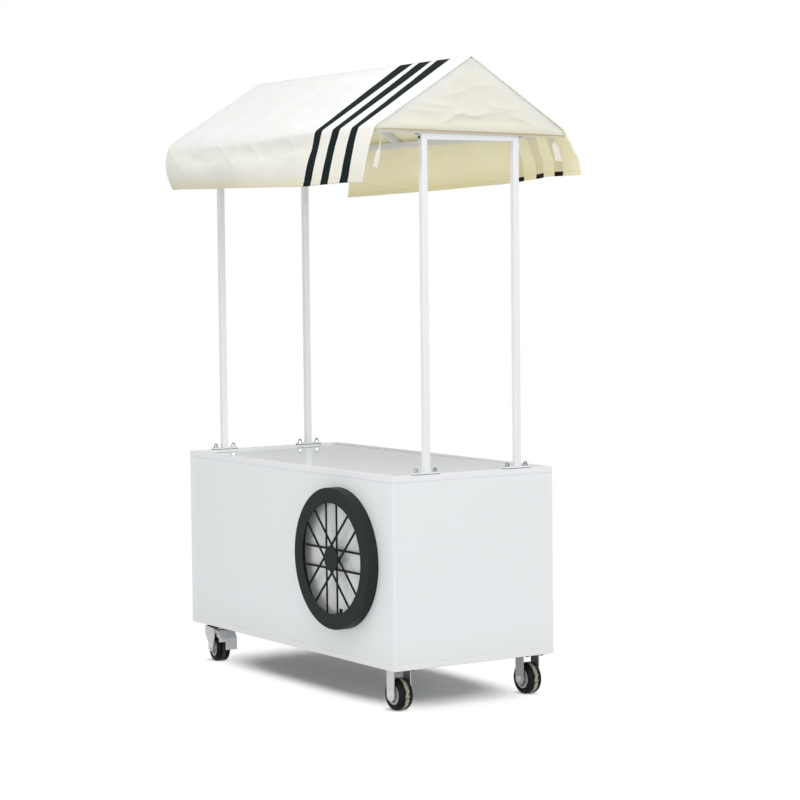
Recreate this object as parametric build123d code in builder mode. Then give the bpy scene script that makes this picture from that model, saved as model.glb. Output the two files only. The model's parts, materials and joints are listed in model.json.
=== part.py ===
from build123d import *
import os
from math import cos, pi, radians, sin, sqrt

# Snack cart: a sheet-panelled cabinet on casters, two arched post frames and a gabled cloth canopy.
# Millimetres. +X runs to the right end, -Y is the customers' side, +Y is the vendor's side, +Z is up.
# The origin lies on the floor under the middle of the cart.

# Cabinet
cabinet_length = 1300.0
cabinet_depth = 600.0
cabinet_height = 595.0
cart_height = 2000.0
caster_height = 131.0
frame_tube = 25.0
frame_height = 19.0
frame_wall = 1.5
upright_tube = 19.0
tube_corner = 1.5
sheet = 1.5
sheet_flange = 14.0
sheet_bend = 1.5
panel_recess = 0.5
counter_recess = 5.0
inset_flange = 10.0
shelf_height = 430.0
shelf_flange = 18.0
shelf_gap = 5.0
rail_tube = 20.0
gusset_length = 110.0
gusset_depth = 95.0
gusset_thickness = 4.0

# Rear doors
door_gap = 2.0
hinge_length = 60.0
hinge_inset = 90.0
hinge_leaf = 2.0
hinge_leaf_width = 9.5
knuckle_radius = 4.0
knuckle_lift = 0.2
knuckle_gap = 0.4
leaf_gap = 1.2
hinge_pin_radius = 2.5
pin_clearance = 0.05
handle_reach = 26.0
handle_span = 96.0
handle_radius = 4.5
handle_bend = 11.0
handle_inset = 45.0
catch_length = 40.0
catch_depth = 20.0
catch_height = 14.0
catch_gap = 0.5

# Post frames
post_tube = 20.0
post_wall = 1.2
post_spread = 340.0
flange_length = 96.0
flange_thickness = 4.0
flange_corner = 3.0
pad_thickness = 2.0
pad_inset = 4.0
stud_radius = 4.0
stud_spacing = 69.0
stud_length = 15.0
stud_clearance = 0.3
nut_flats = 13.0
nut_height = 7.0
dome_radius = 6.2
dome_height = 8.0
dome_round = 5.8
thread_clearance = 0.05

# Roof frame
roof_tube = 20.0
roof_wall = 1.2
roof_depth = 676.0
roof_rise = 216.0
inner_rafter_spread = 530.0
bracket_leg = 20.0
bracket_screw_place = 13.0
bracket_width = 14.0
bracket_thickness = 2.5
screw_head_radius = 4.0
screw_head_height = 2.5

# Canopy cloth
cloth = 2.0
eave_overhang = 14.0
eave_drop = 3.0
gable_lap = 19.0
rake_lip = 6.0
front_drop_left = 151.0
front_drop_right = 170.0
rear_drop_left = 176.0
rear_drop_right = 140.0
hem_flare_right = 52.0
front_hem_flare_left = -7.0
rear_hem_flare_left = 7.0
front_bulge_left = 24.0
front_bulge_right = 6.0
rear_bulge_left = 13.0
rear_bulge_right = 14.0
fold_depth = 7.0
fold_count = 3
sections_per_fold = 4
tape_width = 18.0
tape_thickness = 1.0
tape_length = 110.0
tape_lean = 31.0
tape_inset = 22.0
tape_setback = 5.0

# Decorative wheel on the front panel
wheel_inset = 305.0
wheel_lift = 22.0
wheel_margin = 56.0
rim_width = 48.0
rim_depth = 37.0
rim_plate = 3.0
rim_edge = 1.5
spoke_width = 7.0
spoke_offset = 31.0
spoke_pairs = 4
spoke_lap = 12.0
spoke_thickness = 3.0
hub_radius = 40.0
hub_thickness = 3.0
lug_width = 16.0
lug_leg = 14.0
lug_thickness = 2.5
lug_screw_place = 8.0
lug_screw_radius = 3.5
lug_screw_height = 2.5

# Casters
caster_inset_x = 63.0
caster_inset_y = 57.0
wheel_radius = 50.0
tread_width = 50.0
tread_flat = 22.0
tread_shoulder = 12.0
hub_ring_radius = 31.0
hub_ring_width = 44.0
hub_ring_thickness = 5.0
hub_web = 12.0
hub_boss_radius = 13.0
hub_boss_width = 52.0
axle_radius = 6.0
axle_clearance = 0.05
axle_head_flats = 18.0
axle_head_height = 6.0
fork_width = 64.0
fork_thickness = 4.0
rigid_fork_breadth = 40.0
plate_length = 95.0
plate_width = 75.0
plate_thickness = 4.0
plate_stud_x = 76.0
plate_stud_y = 56.0
plate_stud_radius = 3.0
plate_nut_flats = 10.0
plate_nut_height = 3.2
plate_stud_end = 0.5
swivel_trail = 36.0
front_swivel_turn = -9.0
rear_swivel_turn = 14.0
race_radius = 28.0
race_depth = 8.0
race_gap = 0.8
crown_thickness = 5.0
crown_back = 20.0
crown_front = 38.0
kingpin_radius = 6.0
kingpin_head_radius = 10.0
kingpin_head_height = 5.0
cheek_front = 68.0
cheek_corner_drop = 28.0
cheek_end_radius = 16.0
pedal_pin_x = 58.0
pedal_pin_drop = 27.0
pedal_pin_radius = 4.0
pedal_barrel_radius = 7.0
pedal_side_gap = 1.0
pedal_plate = 3.0
pedal_arm_width = 46.0
pedal_width = 64.0
pedal_back = 76.0
pedal_reach = 124.0
pedal_lip = 12.0
pedal_flap = 40.0
pedal_flap_width = 40.0
pedal_step = 24.0
shoe_gap = 3.6
shoe_offset = 8.0
shoe_length = 14.0

# Levels and outlines that follow from the sizes above
cabinet_bottom = caster_height
cabinet_top = caster_height + cabinet_height
base_top = cabinet_bottom + frame_height
rim_bottom = cabinet_top - frame_height
bay_height = rim_bottom - base_top
bay_middle = (rim_bottom + base_top) / 2
front_face = -cabinet_depth / 2
rear_face = cabinet_depth / 2
right_face = cabinet_length / 2
door_width = (cabinet_length - 2 * upright_tube - 3 * door_gap) / 2
door_height = bay_height - 2 * door_gap
door_middle = (door_gap + door_width) / 2
door_face = rear_face - panel_recess
hinge_x = right_face - upright_tube - door_gap / 2
hinge_y = rear_face + knuckle_radius + knuckle_lift
hinge_levels = (base_top + hinge_inset, rim_bottom - hinge_inset)
knuckle_length = hinge_length / 3
flange_top = cabinet_top + pad_thickness + flange_thickness
post_corners = (cabinet_length - frame_tube, post_spread)
roof_top = cart_height - roof_rise
post_frame_top = roof_top - roof_tube
eave_reach = roof_depth / 2 + eave_overhang
eave_height = roof_top - eave_drop
roof_pitch = (cart_height - eave_height) / eave_reach
pitch_stretch = sqrt(1 + roof_pitch**2)
cloth_drop = cloth * pitch_stretch
gable_face = right_face + cloth
canopy_half = gable_face + rake_lip
gable_edge_height = roof_top - gable_lap
wheel_place = right_face - wheel_inset
wheel_height = bay_middle + wheel_lift
rim_radius = bay_height / 2 - wheel_margin
rim_hole_radius = rim_radius - rim_width
race_bottom = caster_height - plate_thickness - race_depth
crown_top = race_bottom - race_gap
crown_bottom = crown_top - crown_thickness
pedal_pin_height = caster_height - pedal_pin_drop


def under_cloth(reach):
    """Height of the cloth's inner face on a slope, at a distance from the ridge."""
    return cart_height - cloth_drop - roof_pitch * reach


def group(solids):
    """Several separate solids that make one node."""
    return Compound(children=list(solids))


def save(piece, name):
    """Label a finished piece and write it."""
    piece.label = name
    export_step(piece, f"parts/{name}.step")


def mitred_tube(corner, along, inward, length, size, height, wall, mitre_start=True):
    """Tube from a corner, size deep inwards: it runs along, ends in a mitre and starts in one or square."""
    plane = Plane(corner, x_dir=along, z_dir=Vector(along).cross(Vector(inward)))

    def outline(low, high):
        start_low, start_high = (low, high) if mitre_start else (0, 0)
        return [(start_low, low), (length - low, low), (length - high, high), (start_high, high)]

    with BuildPart() as tube:
        with BuildSketch(plane):
            with BuildLine():
                Polyline(*outline(0, size), close=True)
            make_face()
        extrude(amount=height)
        fillet(tube.edges().filter_by(Axis((0, 0, 0), along)), tube_corner)
        with BuildSketch(plane.offset(wall)):
            with BuildLine():
                Polyline(*outline(wall, size - wall), close=True)
            make_face()
        extrude(amount=height - 2 * wall, mode=Mode.SUBTRACT)
    return tube.part


def rectangle_frame(length, depth, bottom, size, height, wall):
    """Four mitred tubes welded into a level rectangle."""
    half_x = length / 2
    half_y = depth / 2
    return group([
        mitred_tube((-half_x, -half_y, bottom), (1, 0, 0), (0, 1, 0), length, size, height, wall),
        mitred_tube((half_x, half_y, bottom), (-1, 0, 0), (0, -1, 0), length, size, height, wall),
        mitred_tube((half_x, -half_y, bottom), (0, 1, 0), (-1, 0, 0), depth, size, height, wall),
        mitred_tube((-half_x, half_y, bottom), (0, -1, 0), (1, 0, 0), depth, size, height, wall),
    ])


def sheet_tray(plane, length, height, recess, flange=sheet_flange):
    """Sheet folded into a shallow tray: its face looks along the plane's normal, its flanges point back."""
    with BuildPart() as tray:
        with BuildSketch(plane.offset(-recess)):
            Rectangle(length, height)
        extrude(amount=-flange)
        face = tray.faces().sort_by(Axis(plane.origin, plane.z_dir))[-1]
        fillet(face.edges(), sheet_bend)
        with BuildSketch(plane.offset(-recess - sheet)):
            Rectangle(length - 2 * sheet, height - 2 * sheet)
        extrude(amount=sheet - flange, mode=Mode.SUBTRACT)
    return tray.part


def cabinet_frame():
    """Base rectangle and top rim of flat tube, with four square uprights between their corners."""
    base = rectangle_frame(
        cabinet_length, cabinet_depth, cabinet_bottom, frame_tube, frame_height, frame_wall
    )
    rim = rectangle_frame(cabinet_length, cabinet_depth, rim_bottom, frame_tube, frame_height, frame_wall)
    hollow = upright_tube - 2 * frame_wall
    with BuildPart() as uprights:
        with BuildSketch(Plane.XY.offset(base_top)):
            with GridLocations(cabinet_length - upright_tube, cabinet_depth - upright_tube, 2, 2):
                RectangleRounded(upright_tube, upright_tube, tube_corner)
                Rectangle(hollow, hollow, mode=Mode.SUBTRACT)
        extrude(amount=bay_height)
    return base, uprights.part, rim


def corner_gussets():
    """Flat plates in the corners of the base rectangle, flush with its underside."""
    across_x = cabinet_length - 2 * frame_tube - gusset_length
    across_y = cabinet_depth - 2 * frame_tube - gusset_depth
    with BuildPart() as gussets:
        with BuildSketch(Plane.XY.offset(cabinet_bottom)):
            with GridLocations(across_x, across_y, 2, 2):
                Rectangle(gusset_length, gusset_depth)
        extrude(amount=gusset_thickness)
    return gussets.part


def shelf_and_rails():
    """Sheet shelf with front and rear stiffening flanges, lying on a rail at each end."""
    rail_length = cabinet_depth - 2 * upright_tube - 2 * sheet
    rail_middle = right_face - frame_tube + rail_tube / 2
    rail_bottom = shelf_height - sheet - rail_tube
    rail_end = Plane((0, -rail_length / 2, rail_bottom + rail_tube / 2), x_dir=(1, 0, 0), z_dir=(0, 1, 0))
    with BuildPart() as rails:
        with BuildSketch(rail_end):
            with GridLocations(2 * rail_middle, 1, 2, 1):
                RectangleRounded(rail_tube, rail_tube, tube_corner)
                Rectangle(rail_tube - 2 * frame_wall, rail_tube - 2 * frame_wall, mode=Mode.SUBTRACT)
        extrude(amount=rail_length)
    shelf_front = -rail_length / 2 + shelf_gap
    shelf_rear = rear_face - panel_recess - sheet_flange - 2 * shelf_gap
    shelf_depth = shelf_rear - shelf_front
    shelf_plane = Plane((0, (shelf_front + shelf_rear) / 2, shelf_height))
    flange_run = cabinet_length - 2 * frame_tube - 2 * shelf_gap
    with BuildPart() as shelf:
        with BuildSketch(shelf_plane):
            Rectangle(2 * rail_middle, shelf_depth)
        extrude(amount=-sheet)
        with BuildSketch(shelf_plane.offset(-sheet)):
            with GridLocations(1, shelf_depth - sheet, 1, 2):
                Rectangle(flange_run, sheet)
        extrude(amount=-shelf_flange)
    return shelf.part, rails.part


def door_plane(side):
    """Upright plane in the middle of one rear door, looking out to the vendor's side."""
    return Plane((side * door_middle, rear_face, bay_middle), x_dir=(-1, 0, 0), z_dir=(0, 1, 0))


def hinge_knuckle(side, level, low, high):
    """Round knuckle of a hinge between two heights above the hinge's lower end."""
    plane = Plane((side * hinge_x, hinge_y, level - hinge_length / 2 + low))
    with BuildPart() as knuckle:
        with BuildSketch(plane):
            Circle(knuckle_radius)
        extrude(amount=high - low)
    return knuckle.part


def hinge_leaf_solid(side, level, outward, face, spans):
    """One hinge leaf: a flat plate on a face, with a tongue to each of its knuckles, bored for the pin."""
    bottom = level - hinge_length / 2
    edge = knuckle_radius + leaf_gap
    plate_middle = side * hinge_x + outward * (edge + hinge_leaf_width / 2)
    with BuildPart() as leaf:
        with BuildSketch(Plane((plate_middle, face + hinge_leaf / 2, bottom))):
            Rectangle(hinge_leaf_width, hinge_leaf)
        extrude(amount=hinge_length)
        for low, high in spans:
            tongue_middle = side * hinge_x + outward * edge / 2
            with BuildSketch(Plane((tongue_middle, face + hinge_leaf / 2, bottom + low))):
                Rectangle(edge, hinge_leaf)
            extrude(amount=high - low)
            add(hinge_knuckle(side, level, low, high))
        with BuildSketch(Plane((side * hinge_x, hinge_y, bottom))):
            Circle(hinge_pin_radius + pin_clearance)
        extrude(amount=hinge_length, mode=Mode.SUBTRACT)
    return leaf.part


def door_hinges():
    """Leaves fixed to the uprights, leaves fixed to each door, and the pins."""
    frame_spans = [(0, knuckle_length - knuckle_gap), (2 * knuckle_length + knuckle_gap, hinge_length)]
    door_spans = [(knuckle_length, 2 * knuckle_length)]
    frame_leaves = []
    door_leaves = {-1: [], 1: []}
    for side in (-1, 1):
        for level in hinge_levels:
            frame_leaves.append(hinge_leaf_solid(side, level, side, rear_face, frame_spans))
            door_leaves[side].append(hinge_leaf_solid(side, level, -side, door_face, door_spans))
    with BuildPart() as pins:
        for level in hinge_levels:
            with BuildSketch(Plane((0, hinge_y, level - hinge_length / 2))):
                with GridLocations(2 * hinge_x, 1, 2, 1):
                    Circle(hinge_pin_radius)
            extrude(amount=hinge_length)
    return group(frame_leaves), group(door_leaves[-1]), group(door_leaves[1]), pins.part


def door_handle(side):
    """Bow handle: a round bar bent out from the door and back."""
    x = side * (door_gap / 2 + handle_inset)
    low = bay_middle - handle_span / 2
    high = bay_middle + handle_span / 2
    with BuildPart() as handle:
        with BuildLine() as path:
            FilletPolyline(
                (x, door_face, low),
                (x, door_face + handle_reach, low),
                (x, door_face + handle_reach, high),
                (x, door_face, high),
                radius=handle_bend,
            )
        with BuildSketch(Plane((x, door_face, low), z_dir=(0, 1, 0))):
            Circle(handle_radius)
        sweep(path=path.line)
    return handle.part


def door_catches():
    """Magnet blocks under the top rim, one for each door's upper corner by the middle gap."""
    front = door_face - sheet_flange - catch_gap - catch_depth / 2
    with BuildPart() as catches:
        with BuildSketch(Plane((0, front, rim_bottom))):
            with GridLocations(2 * catch_length, 1, 2, 1):
                Rectangle(catch_length, catch_depth)
        extrude(amount=-catch_height)
    return catches.part


def post_frame(side):
    """Arched frame at one end: two posts and a crossbar, mitred at the top corners."""
    span = post_spread + post_tube
    rise = post_frame_top - flange_top
    high_x = max(side * right_face, side * (right_face - post_tube))
    low_x = high_x - post_tube
    front_foot = (high_x, -span / 2, flange_top)
    rear_foot = (low_x, span / 2, flange_top)
    front_top = (high_x, -span / 2, post_frame_top)
    return group([
        mitred_tube(front_foot, (0, 0, 1), (0, 1, 0), rise, post_tube, post_tube, post_wall, False),
        mitred_tube(rear_foot, (0, 0, 1), (0, -1, 0), rise, post_tube, post_tube, post_wall, False),
        mitred_tube(front_top, (0, 1, 0), (0, 0, -1), span, post_tube, post_tube, post_wall),
    ])


def post_feet():
    """Flange plates, pads, studs and dome nuts under the four posts."""
    rim_plane = Plane.XY.offset(cabinet_top)
    with BuildPart() as pads:
        with BuildSketch(rim_plane):
            with GridLocations(*post_corners, 2, 2):
                Rectangle(frame_tube - pad_inset, flange_length - pad_inset)
                with GridLocations(1, stud_spacing, 1, 2):
                    Circle(stud_radius + stud_clearance, mode=Mode.SUBTRACT)
        extrude(amount=pad_thickness)
    with BuildPart() as flanges:
        with BuildSketch(rim_plane.offset(pad_thickness)):
            with GridLocations(*post_corners, 2, 2):
                RectangleRounded(frame_tube, flange_length, flange_corner)
                with GridLocations(1, stud_spacing, 1, 2):
                    Circle(stud_radius + stud_clearance, mode=Mode.SUBTRACT)
        extrude(amount=flange_thickness)
    with BuildPart() as studs:
        with BuildSketch(rim_plane):
            with GridLocations(*post_corners, 2, 2):
                with GridLocations(1, stud_spacing, 1, 2):
                    Circle(stud_radius)
        extrude(amount=stud_length)
    with BuildPart() as nuts:
        with GridLocations(*post_corners, 2, 2):
            with GridLocations(1, stud_spacing, 1, 2):
                add(dome_nut())
    return flanges.part, pads.part, studs.part, nuts.part


def dome_nut():
    """Hexagon nut with a round cap and a blind hole for the stud, standing on the flange plate."""
    thread_depth = stud_length - pad_thickness - flange_thickness + thread_clearance
    with BuildPart() as nut:
        with BuildSketch(Plane.XY.offset(flange_top)):
            RegularPolygon(nut_flats / 2, 6, major_radius=False)
        extrude(amount=nut_height)
        with BuildSketch(Plane.XY.offset(flange_top + nut_height)):
            Circle(dome_radius)
        extrude(amount=dome_height)
        fillet(nut.edges().sort_by(Axis.Z)[-1], dome_round)
        with BuildSketch(Plane.XY.offset(flange_top)):
            Circle(stud_radius + thread_clearance)
        extrude(amount=thread_depth, mode=Mode.SUBTRACT)
    return nut.part


def roof_frame():
    """Level rectangle on the post frames, ridge bar and the sloping rafters."""
    rectangle = rectangle_frame(cabinet_length, roof_depth, post_frame_top, roof_tube, roof_tube, roof_wall)
    ridge_top = under_cloth(roof_tube / 2)
    with BuildPart() as ridge:
        with BuildSketch(Plane.YZ):
            with Locations((0, ridge_top - roof_tube / 2)):
                RectangleRounded(roof_tube, roof_tube, tube_corner)
                Rectangle(roof_tube - 2 * roof_wall, roof_tube - 2 * roof_wall, mode=Mode.SUBTRACT)
        extrude(amount=right_face, both=True)
    rafters = []
    end_place = right_face - roof_tube / 2
    for place in (-end_place, -inner_rafter_spread / 2, inner_rafter_spread / 2, end_place):
        for side in (-1, 1):
            rafters.append(rafter(place, side))
    return rectangle, ridge.part, group(rafters)


def rafter(place, side):
    """Sloping tube from the ridge bar's side down to the top of an eave bar."""
    depth = roof_tube * pitch_stretch
    inner_wall = roof_wall * pitch_stretch
    head = roof_tube / 2
    foot = roof_depth / 2
    heel = (under_cloth(0) - depth - roof_top) / roof_pitch
    hollow_end = heel - roof_tube
    with BuildPart() as bar:
        with BuildSketch(Plane.YZ.offset(place - roof_tube / 2)):
            with BuildLine():
                Polyline(
                    (side * head, under_cloth(head)),
                    (side * foot, under_cloth(foot)),
                    (side * foot, roof_top),
                    (side * heel, roof_top),
                    (side * head, under_cloth(head) - depth),
                    close=True,
                )
            make_face()
        extrude(amount=roof_tube)
        fillet(bar.edges().filter_by(Axis((0, 0, 0), (0, side, -roof_pitch))), tube_corner)
        with BuildSketch(Plane.YZ.offset(place - roof_tube / 2 + roof_wall)):
            with BuildLine():
                Polyline(
                    (side * head, under_cloth(head) - inner_wall),
                    (side * hollow_end, under_cloth(hollow_end) - inner_wall),
                    (side * hollow_end, under_cloth(hollow_end) - depth + inner_wall),
                    (side * head, under_cloth(head) - depth + inner_wall),
                    close=True,
                )
            make_face()
        extrude(amount=roof_tube - 2 * roof_wall, mode=Mode.SUBTRACT)
    return bar.part


def roof_brackets():
    """Angle brackets in the corners between the posts and the roof's end bars, with their screws."""
    face = post_spread / 2 + post_tube / 2
    place = right_face - post_tube / 2
    brackets = []
    screws = []
    for side_x in (-1, 1):
        for side_y in (-1, 1):
            with BuildPart() as bracket:
                with BuildSketch(Plane.YZ.offset(side_x * place - bracket_width / 2)):
                    with BuildLine():
                        Polyline(
                            (side_y * face, post_frame_top),
                            (side_y * (face + bracket_leg), post_frame_top),
                            (side_y * (face + bracket_leg), post_frame_top - bracket_thickness),
                            (side_y * (face + bracket_thickness), post_frame_top - bracket_thickness),
                            (side_y * (face + bracket_thickness), post_frame_top - bracket_leg),
                            (side_y * face, post_frame_top - bracket_leg),
                            close=True,
                        )
                    make_face()
                extrude(amount=bracket_width)
            brackets.append(bracket.part)
            inner_corner = (side_x * place, side_y * face, post_frame_top)
            corner = Plane(inner_corner, x_dir=(0, side_y, 0), z_dir=(0, 0, -1))
            under_leg = corner.from_local_coords((bracket_screw_place, 0, bracket_thickness))
            outer_leg = corner.from_local_coords((bracket_thickness, 0, bracket_screw_place))
            screws.append(screw_head(Plane(under_leg, z_dir=corner.z_dir)))
            screws.append(screw_head(Plane(outer_leg, z_dir=corner.x_dir)))
    return group(brackets), group(screws)


def screw_head(plane, radius=screw_head_radius, height=screw_head_height):
    """Pan head seen on a plate, with a rounded rim."""
    with BuildPart() as head:
        with BuildSketch(plane):
            Circle(radius)
        extrude(amount=height)
        fillet(head.edges().sort_by(Axis(plane.origin, plane.z_dir))[-1], height / 3)
    return head.part


def canopy_slope(side):
    """Flat cloth from the ridge to the eave fold on one side."""
    inner_reach = eave_reach - cloth
    with BuildPart() as slope:
        with BuildSketch(Plane.YZ):
            with BuildLine():
                Polyline(
                    (0, cart_height),
                    (side * eave_reach, eave_height),
                    (side * inner_reach, under_cloth(inner_reach)),
                    (0, under_cloth(0)),
                    close=True,
                )
            make_face()
        extrude(amount=canopy_half, both=True)
    return slope.part


def canopy_valance(side, drop_left, drop_right, flare_left, bulge_left, bulge_right):
    """Hanging cloth below an eave: it bellies out, flares to the right end and has soft upright folds."""
    inner_reach = eave_reach - cloth
    inner_height = under_cloth(inner_reach)
    sections = fold_count * sections_per_fold
    with BuildPart() as valance:
        for section in range(sections + 1):
            share = section / sections
            fold = fold_depth * sin(2 * pi * fold_count * share)
            flare = flare_left + (hem_flare_right - flare_left) * share + fold
            hem = eave_reach + flare
            hem_height = eave_height - drop_left - (drop_right - drop_left) * share
            belly = (eave_reach + hem) / 2 + bulge_left + (bulge_right - bulge_left) * share + fold / 2
            belly_height = (eave_height + hem_height) / 2
            place = canopy_half * (2 * share - 1)
            with BuildSketch(Plane.YZ.offset(place)):
                with BuildLine():
                    ThreePointArc(
                        (side * eave_reach, eave_height),
                        (side * belly, belly_height),
                        (side * hem, hem_height),
                    )
                    Line((side * hem, hem_height), (side * (hem - cloth), hem_height))
                    ThreePointArc(
                        (side * (hem - cloth), hem_height),
                        (side * (belly - cloth), belly_height),
                        (side * inner_reach, inner_height),
                    )
                    Line((side * inner_reach, inner_height), (side * eave_reach, eave_height))
                make_face()
        loft(ruled=True)
    return valance.part


def canopy_cover():
    """The two slopes and the two valances."""
    return group([
        canopy_slope(-1),
        canopy_slope(1),
        canopy_valance(
            -1, front_drop_left, front_drop_right, front_hem_flare_left, front_bulge_left, front_bulge_right
        ),
        canopy_valance(
            1, rear_drop_left, rear_drop_right, rear_hem_flare_left, rear_bulge_left, rear_bulge_right
        ),
    ])


def gable(side):
    """Cloth triangle that closes one end of the roof down to the end bar."""
    reach = eave_reach - cloth
    start = right_face if side > 0 else -gable_face
    with BuildPart() as panel:
        with BuildSketch(Plane.YZ.offset(start)):
            with BuildLine():
                Polyline(
                    (-reach, gable_edge_height),
                    (reach, gable_edge_height),
                    (reach, under_cloth(reach)),
                    (0, under_cloth(0)),
                    (-reach, under_cloth(reach)),
                    close=True,
                )
            make_face()
        extrude(amount=cloth)
    return panel.part


def tie_tapes():
    """Loose cloth tapes that hang from the ends of the roof's end bars."""
    top = roof_depth / 2 - tape_inset
    tapes = []
    for side_x in (-1, 1):
        place = side_x * (right_face - tape_setback) - tape_thickness / 2
        for side_y in (-1, 1):
            with BuildPart() as tape:
                with BuildSketch(Plane.YZ.offset(place)):
                    with BuildLine():
                        Polyline(
                            (side_y * (top - tape_width / 2), post_frame_top),
                            (side_y * (top + tape_width / 2), post_frame_top),
                            (side_y * (top + tape_lean + tape_width / 2), post_frame_top - tape_length),
                            (side_y * (top + tape_lean - tape_width / 2), post_frame_top - tape_length),
                            close=True,
                        )
                    make_face()
                extrude(amount=tape_thickness)
            tapes.append(tape.part)
    return group(tapes)


def decorative_wheel():
    """Wheel on the front panel: pan-shaped rim, flat spokes behind its ring, hub disc, lugs and screws."""
    panel = Plane((wheel_place, front_face + panel_recess, wheel_height), x_dir=(1, 0, 0), z_dir=(0, -1, 0))
    plate_back = rim_depth - rim_plate
    with BuildPart() as rim:
        with BuildSketch(panel):
            Circle(rim_radius)
        extrude(amount=rim_depth)
        with BuildSketch(panel):
            Circle(rim_hole_radius)
        extrude(amount=rim_depth, mode=Mode.SUBTRACT)
        fillet(rim.faces().sort_by(Axis.Y)[0].edges(), rim_edge)
        with BuildSketch(panel):
            Circle(rim_radius - rim_plate)
        extrude(amount=plate_back, mode=Mode.SUBTRACT)
    spoke_reach = rim_hole_radius + spoke_lap
    spoke_back = panel.offset(plate_back - spoke_thickness)
    with BuildPart() as whole_spokes:
        with BuildSketch(spoke_back):
            with GridLocations(2 * spoke_offset, 1, 2, 1):
                Rectangle(spoke_width, 2 * spoke_reach)
            Circle(spoke_reach, mode=Mode.INTERSECT)
        extrude(amount=spoke_thickness)
    with BuildPart() as welded_spokes:
        with BuildSketch(spoke_back):
            with PolarLocations(spoke_offset, 2 * spoke_pairs):
                Rectangle(spoke_width, 2 * spoke_reach)
            Circle(spoke_reach, mode=Mode.INTERSECT)
            with GridLocations(2 * spoke_offset, 1, 2, 1):
                Rectangle(spoke_width, 2 * spoke_reach, mode=Mode.SUBTRACT)
        extrude(amount=spoke_thickness)
    spokes = group(whole_spokes.part.solids() + welded_spokes.part.solids())
    with BuildPart() as hub:
        with BuildSketch(panel.offset(plate_back)):
            Circle(hub_radius)
        extrude(amount=hub_thickness)
        fillet(hub.faces().sort_by(Axis.Y)[0].edges(), hub_thickness / 3)
    lugs = []
    screws = []
    for side in (-1, 1):
        corner = (wheel_place - lug_width / 2, panel.origin.Y, wheel_height)
        middle = Plane(corner, x_dir=(0, -1, 0), z_dir=(1, 0, 0))
        with BuildPart() as lug:
            with BuildSketch(middle):
                with BuildLine():
                    Polyline(
                        (0, -side * (rim_hole_radius + lug_thickness)),
                        (plate_back, -side * (rim_hole_radius + lug_thickness)),
                        (plate_back, -side * rim_hole_radius),
                        (lug_thickness, -side * rim_hole_radius),
                        (lug_thickness, -side * (rim_hole_radius - lug_leg)),
                        (0, -side * (rim_hole_radius - lug_leg)),
                        close=True,
                    )
                make_face()
            extrude(amount=lug_width)
        lugs.append(lug.part)
        screw_height = wheel_height + side * (rim_hole_radius - lug_screw_place)
        seat = Plane((wheel_place, panel.origin.Y - lug_thickness, screw_height), z_dir=(0, -1, 0))
        screws.append(screw_head(seat, lug_screw_radius, lug_screw_height))
    return rim.part, spokes, hub.part, group(lugs), group(screws)


def caster_planes(x, y, turn):
    """Level plane on the floor under a caster, and the upright plane that its wheel rolls in."""
    level = Plane((x, y, 0), x_dir=(cos(radians(turn)), sin(radians(turn)), 0), z_dir=(0, 0, 1))
    upright = Plane(level.origin, x_dir=level.x_dir, z_dir=-level.y_dir)
    return level, upright


def wheel_tread(level, trail):
    """Rubber tread with a flat crown and round shoulders."""
    middle = Plane(level.from_local_coords((trail, 0, wheel_radius)), x_dir=level.y_dir, z_dir=level.x_dir)
    half = tread_width / 2
    flat = tread_flat / 2
    shoulder = wheel_radius - tread_shoulder
    with BuildPart() as tread:
        with BuildSketch(middle):
            with BuildLine():
                Polyline(
                    (-half, shoulder),
                    (-hub_ring_width / 2, hub_ring_radius),
                    (hub_ring_width / 2, hub_ring_radius),
                    (half, shoulder),
                )
                TangentArc((flat, wheel_radius), (half, shoulder), tangent=(1, 0))
                Line((flat, wheel_radius), (-flat, wheel_radius))
                TangentArc((-flat, wheel_radius), (-half, shoulder), tangent=(-1, 0))
            make_face()
        revolve(axis=Axis(middle.origin, middle.x_dir))
    return tread.part


def wheel_hub(level, trail):
    """Moulded hub: outer ring, thin web and a boss bored for the axle."""
    middle = Plane(level.from_local_coords((trail, 0, wheel_radius)), x_dir=level.y_dir, z_dir=level.x_dir)
    ring_inner = hub_ring_radius - hub_ring_thickness
    bore = axle_radius + axle_clearance
    with BuildPart() as hub:
        with BuildSketch(middle):
            with BuildLine():
                Polyline(
                    (-hub_boss_width / 2, bore),
                    (hub_boss_width / 2, bore),
                    (hub_boss_width / 2, hub_boss_radius),
                    (hub_web / 2, hub_boss_radius),
                    (hub_web / 2, ring_inner),
                    (hub_ring_width / 2, ring_inner),
                    (hub_ring_width / 2, hub_ring_radius),
                    (-hub_ring_width / 2, hub_ring_radius),
                    (-hub_ring_width / 2, ring_inner),
                    (-hub_web / 2, ring_inner),
                    (-hub_web / 2, hub_boss_radius),
                    (-hub_boss_width / 2, hub_boss_radius),
                    close=True,
                )
            make_face()
        revolve(axis=Axis(middle.origin, middle.x_dir))
    return hub.part


def axle_bolt(upright, trail):
    """Axle through a fork, with a hexagon head on one side and a nut on the other."""
    half = fork_width / 2
    centre = (trail, wheel_radius)
    with BuildPart() as bolt:
        with BuildSketch(upright.offset(-half)):
            with Locations(centre):
                Circle(axle_radius)
        extrude(amount=2 * half)
        with BuildSketch(upright.offset(half)):
            with Locations(centre):
                RegularPolygon(axle_head_flats / 2, 6, major_radius=False)
        extrude(amount=axle_head_height)
        with BuildSketch(upright.offset(-half)):
            with Locations(centre):
                RegularPolygon(axle_head_flats / 2, 6, major_radius=False)
        extrude(amount=-axle_head_height)
    return bolt.part


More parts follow.
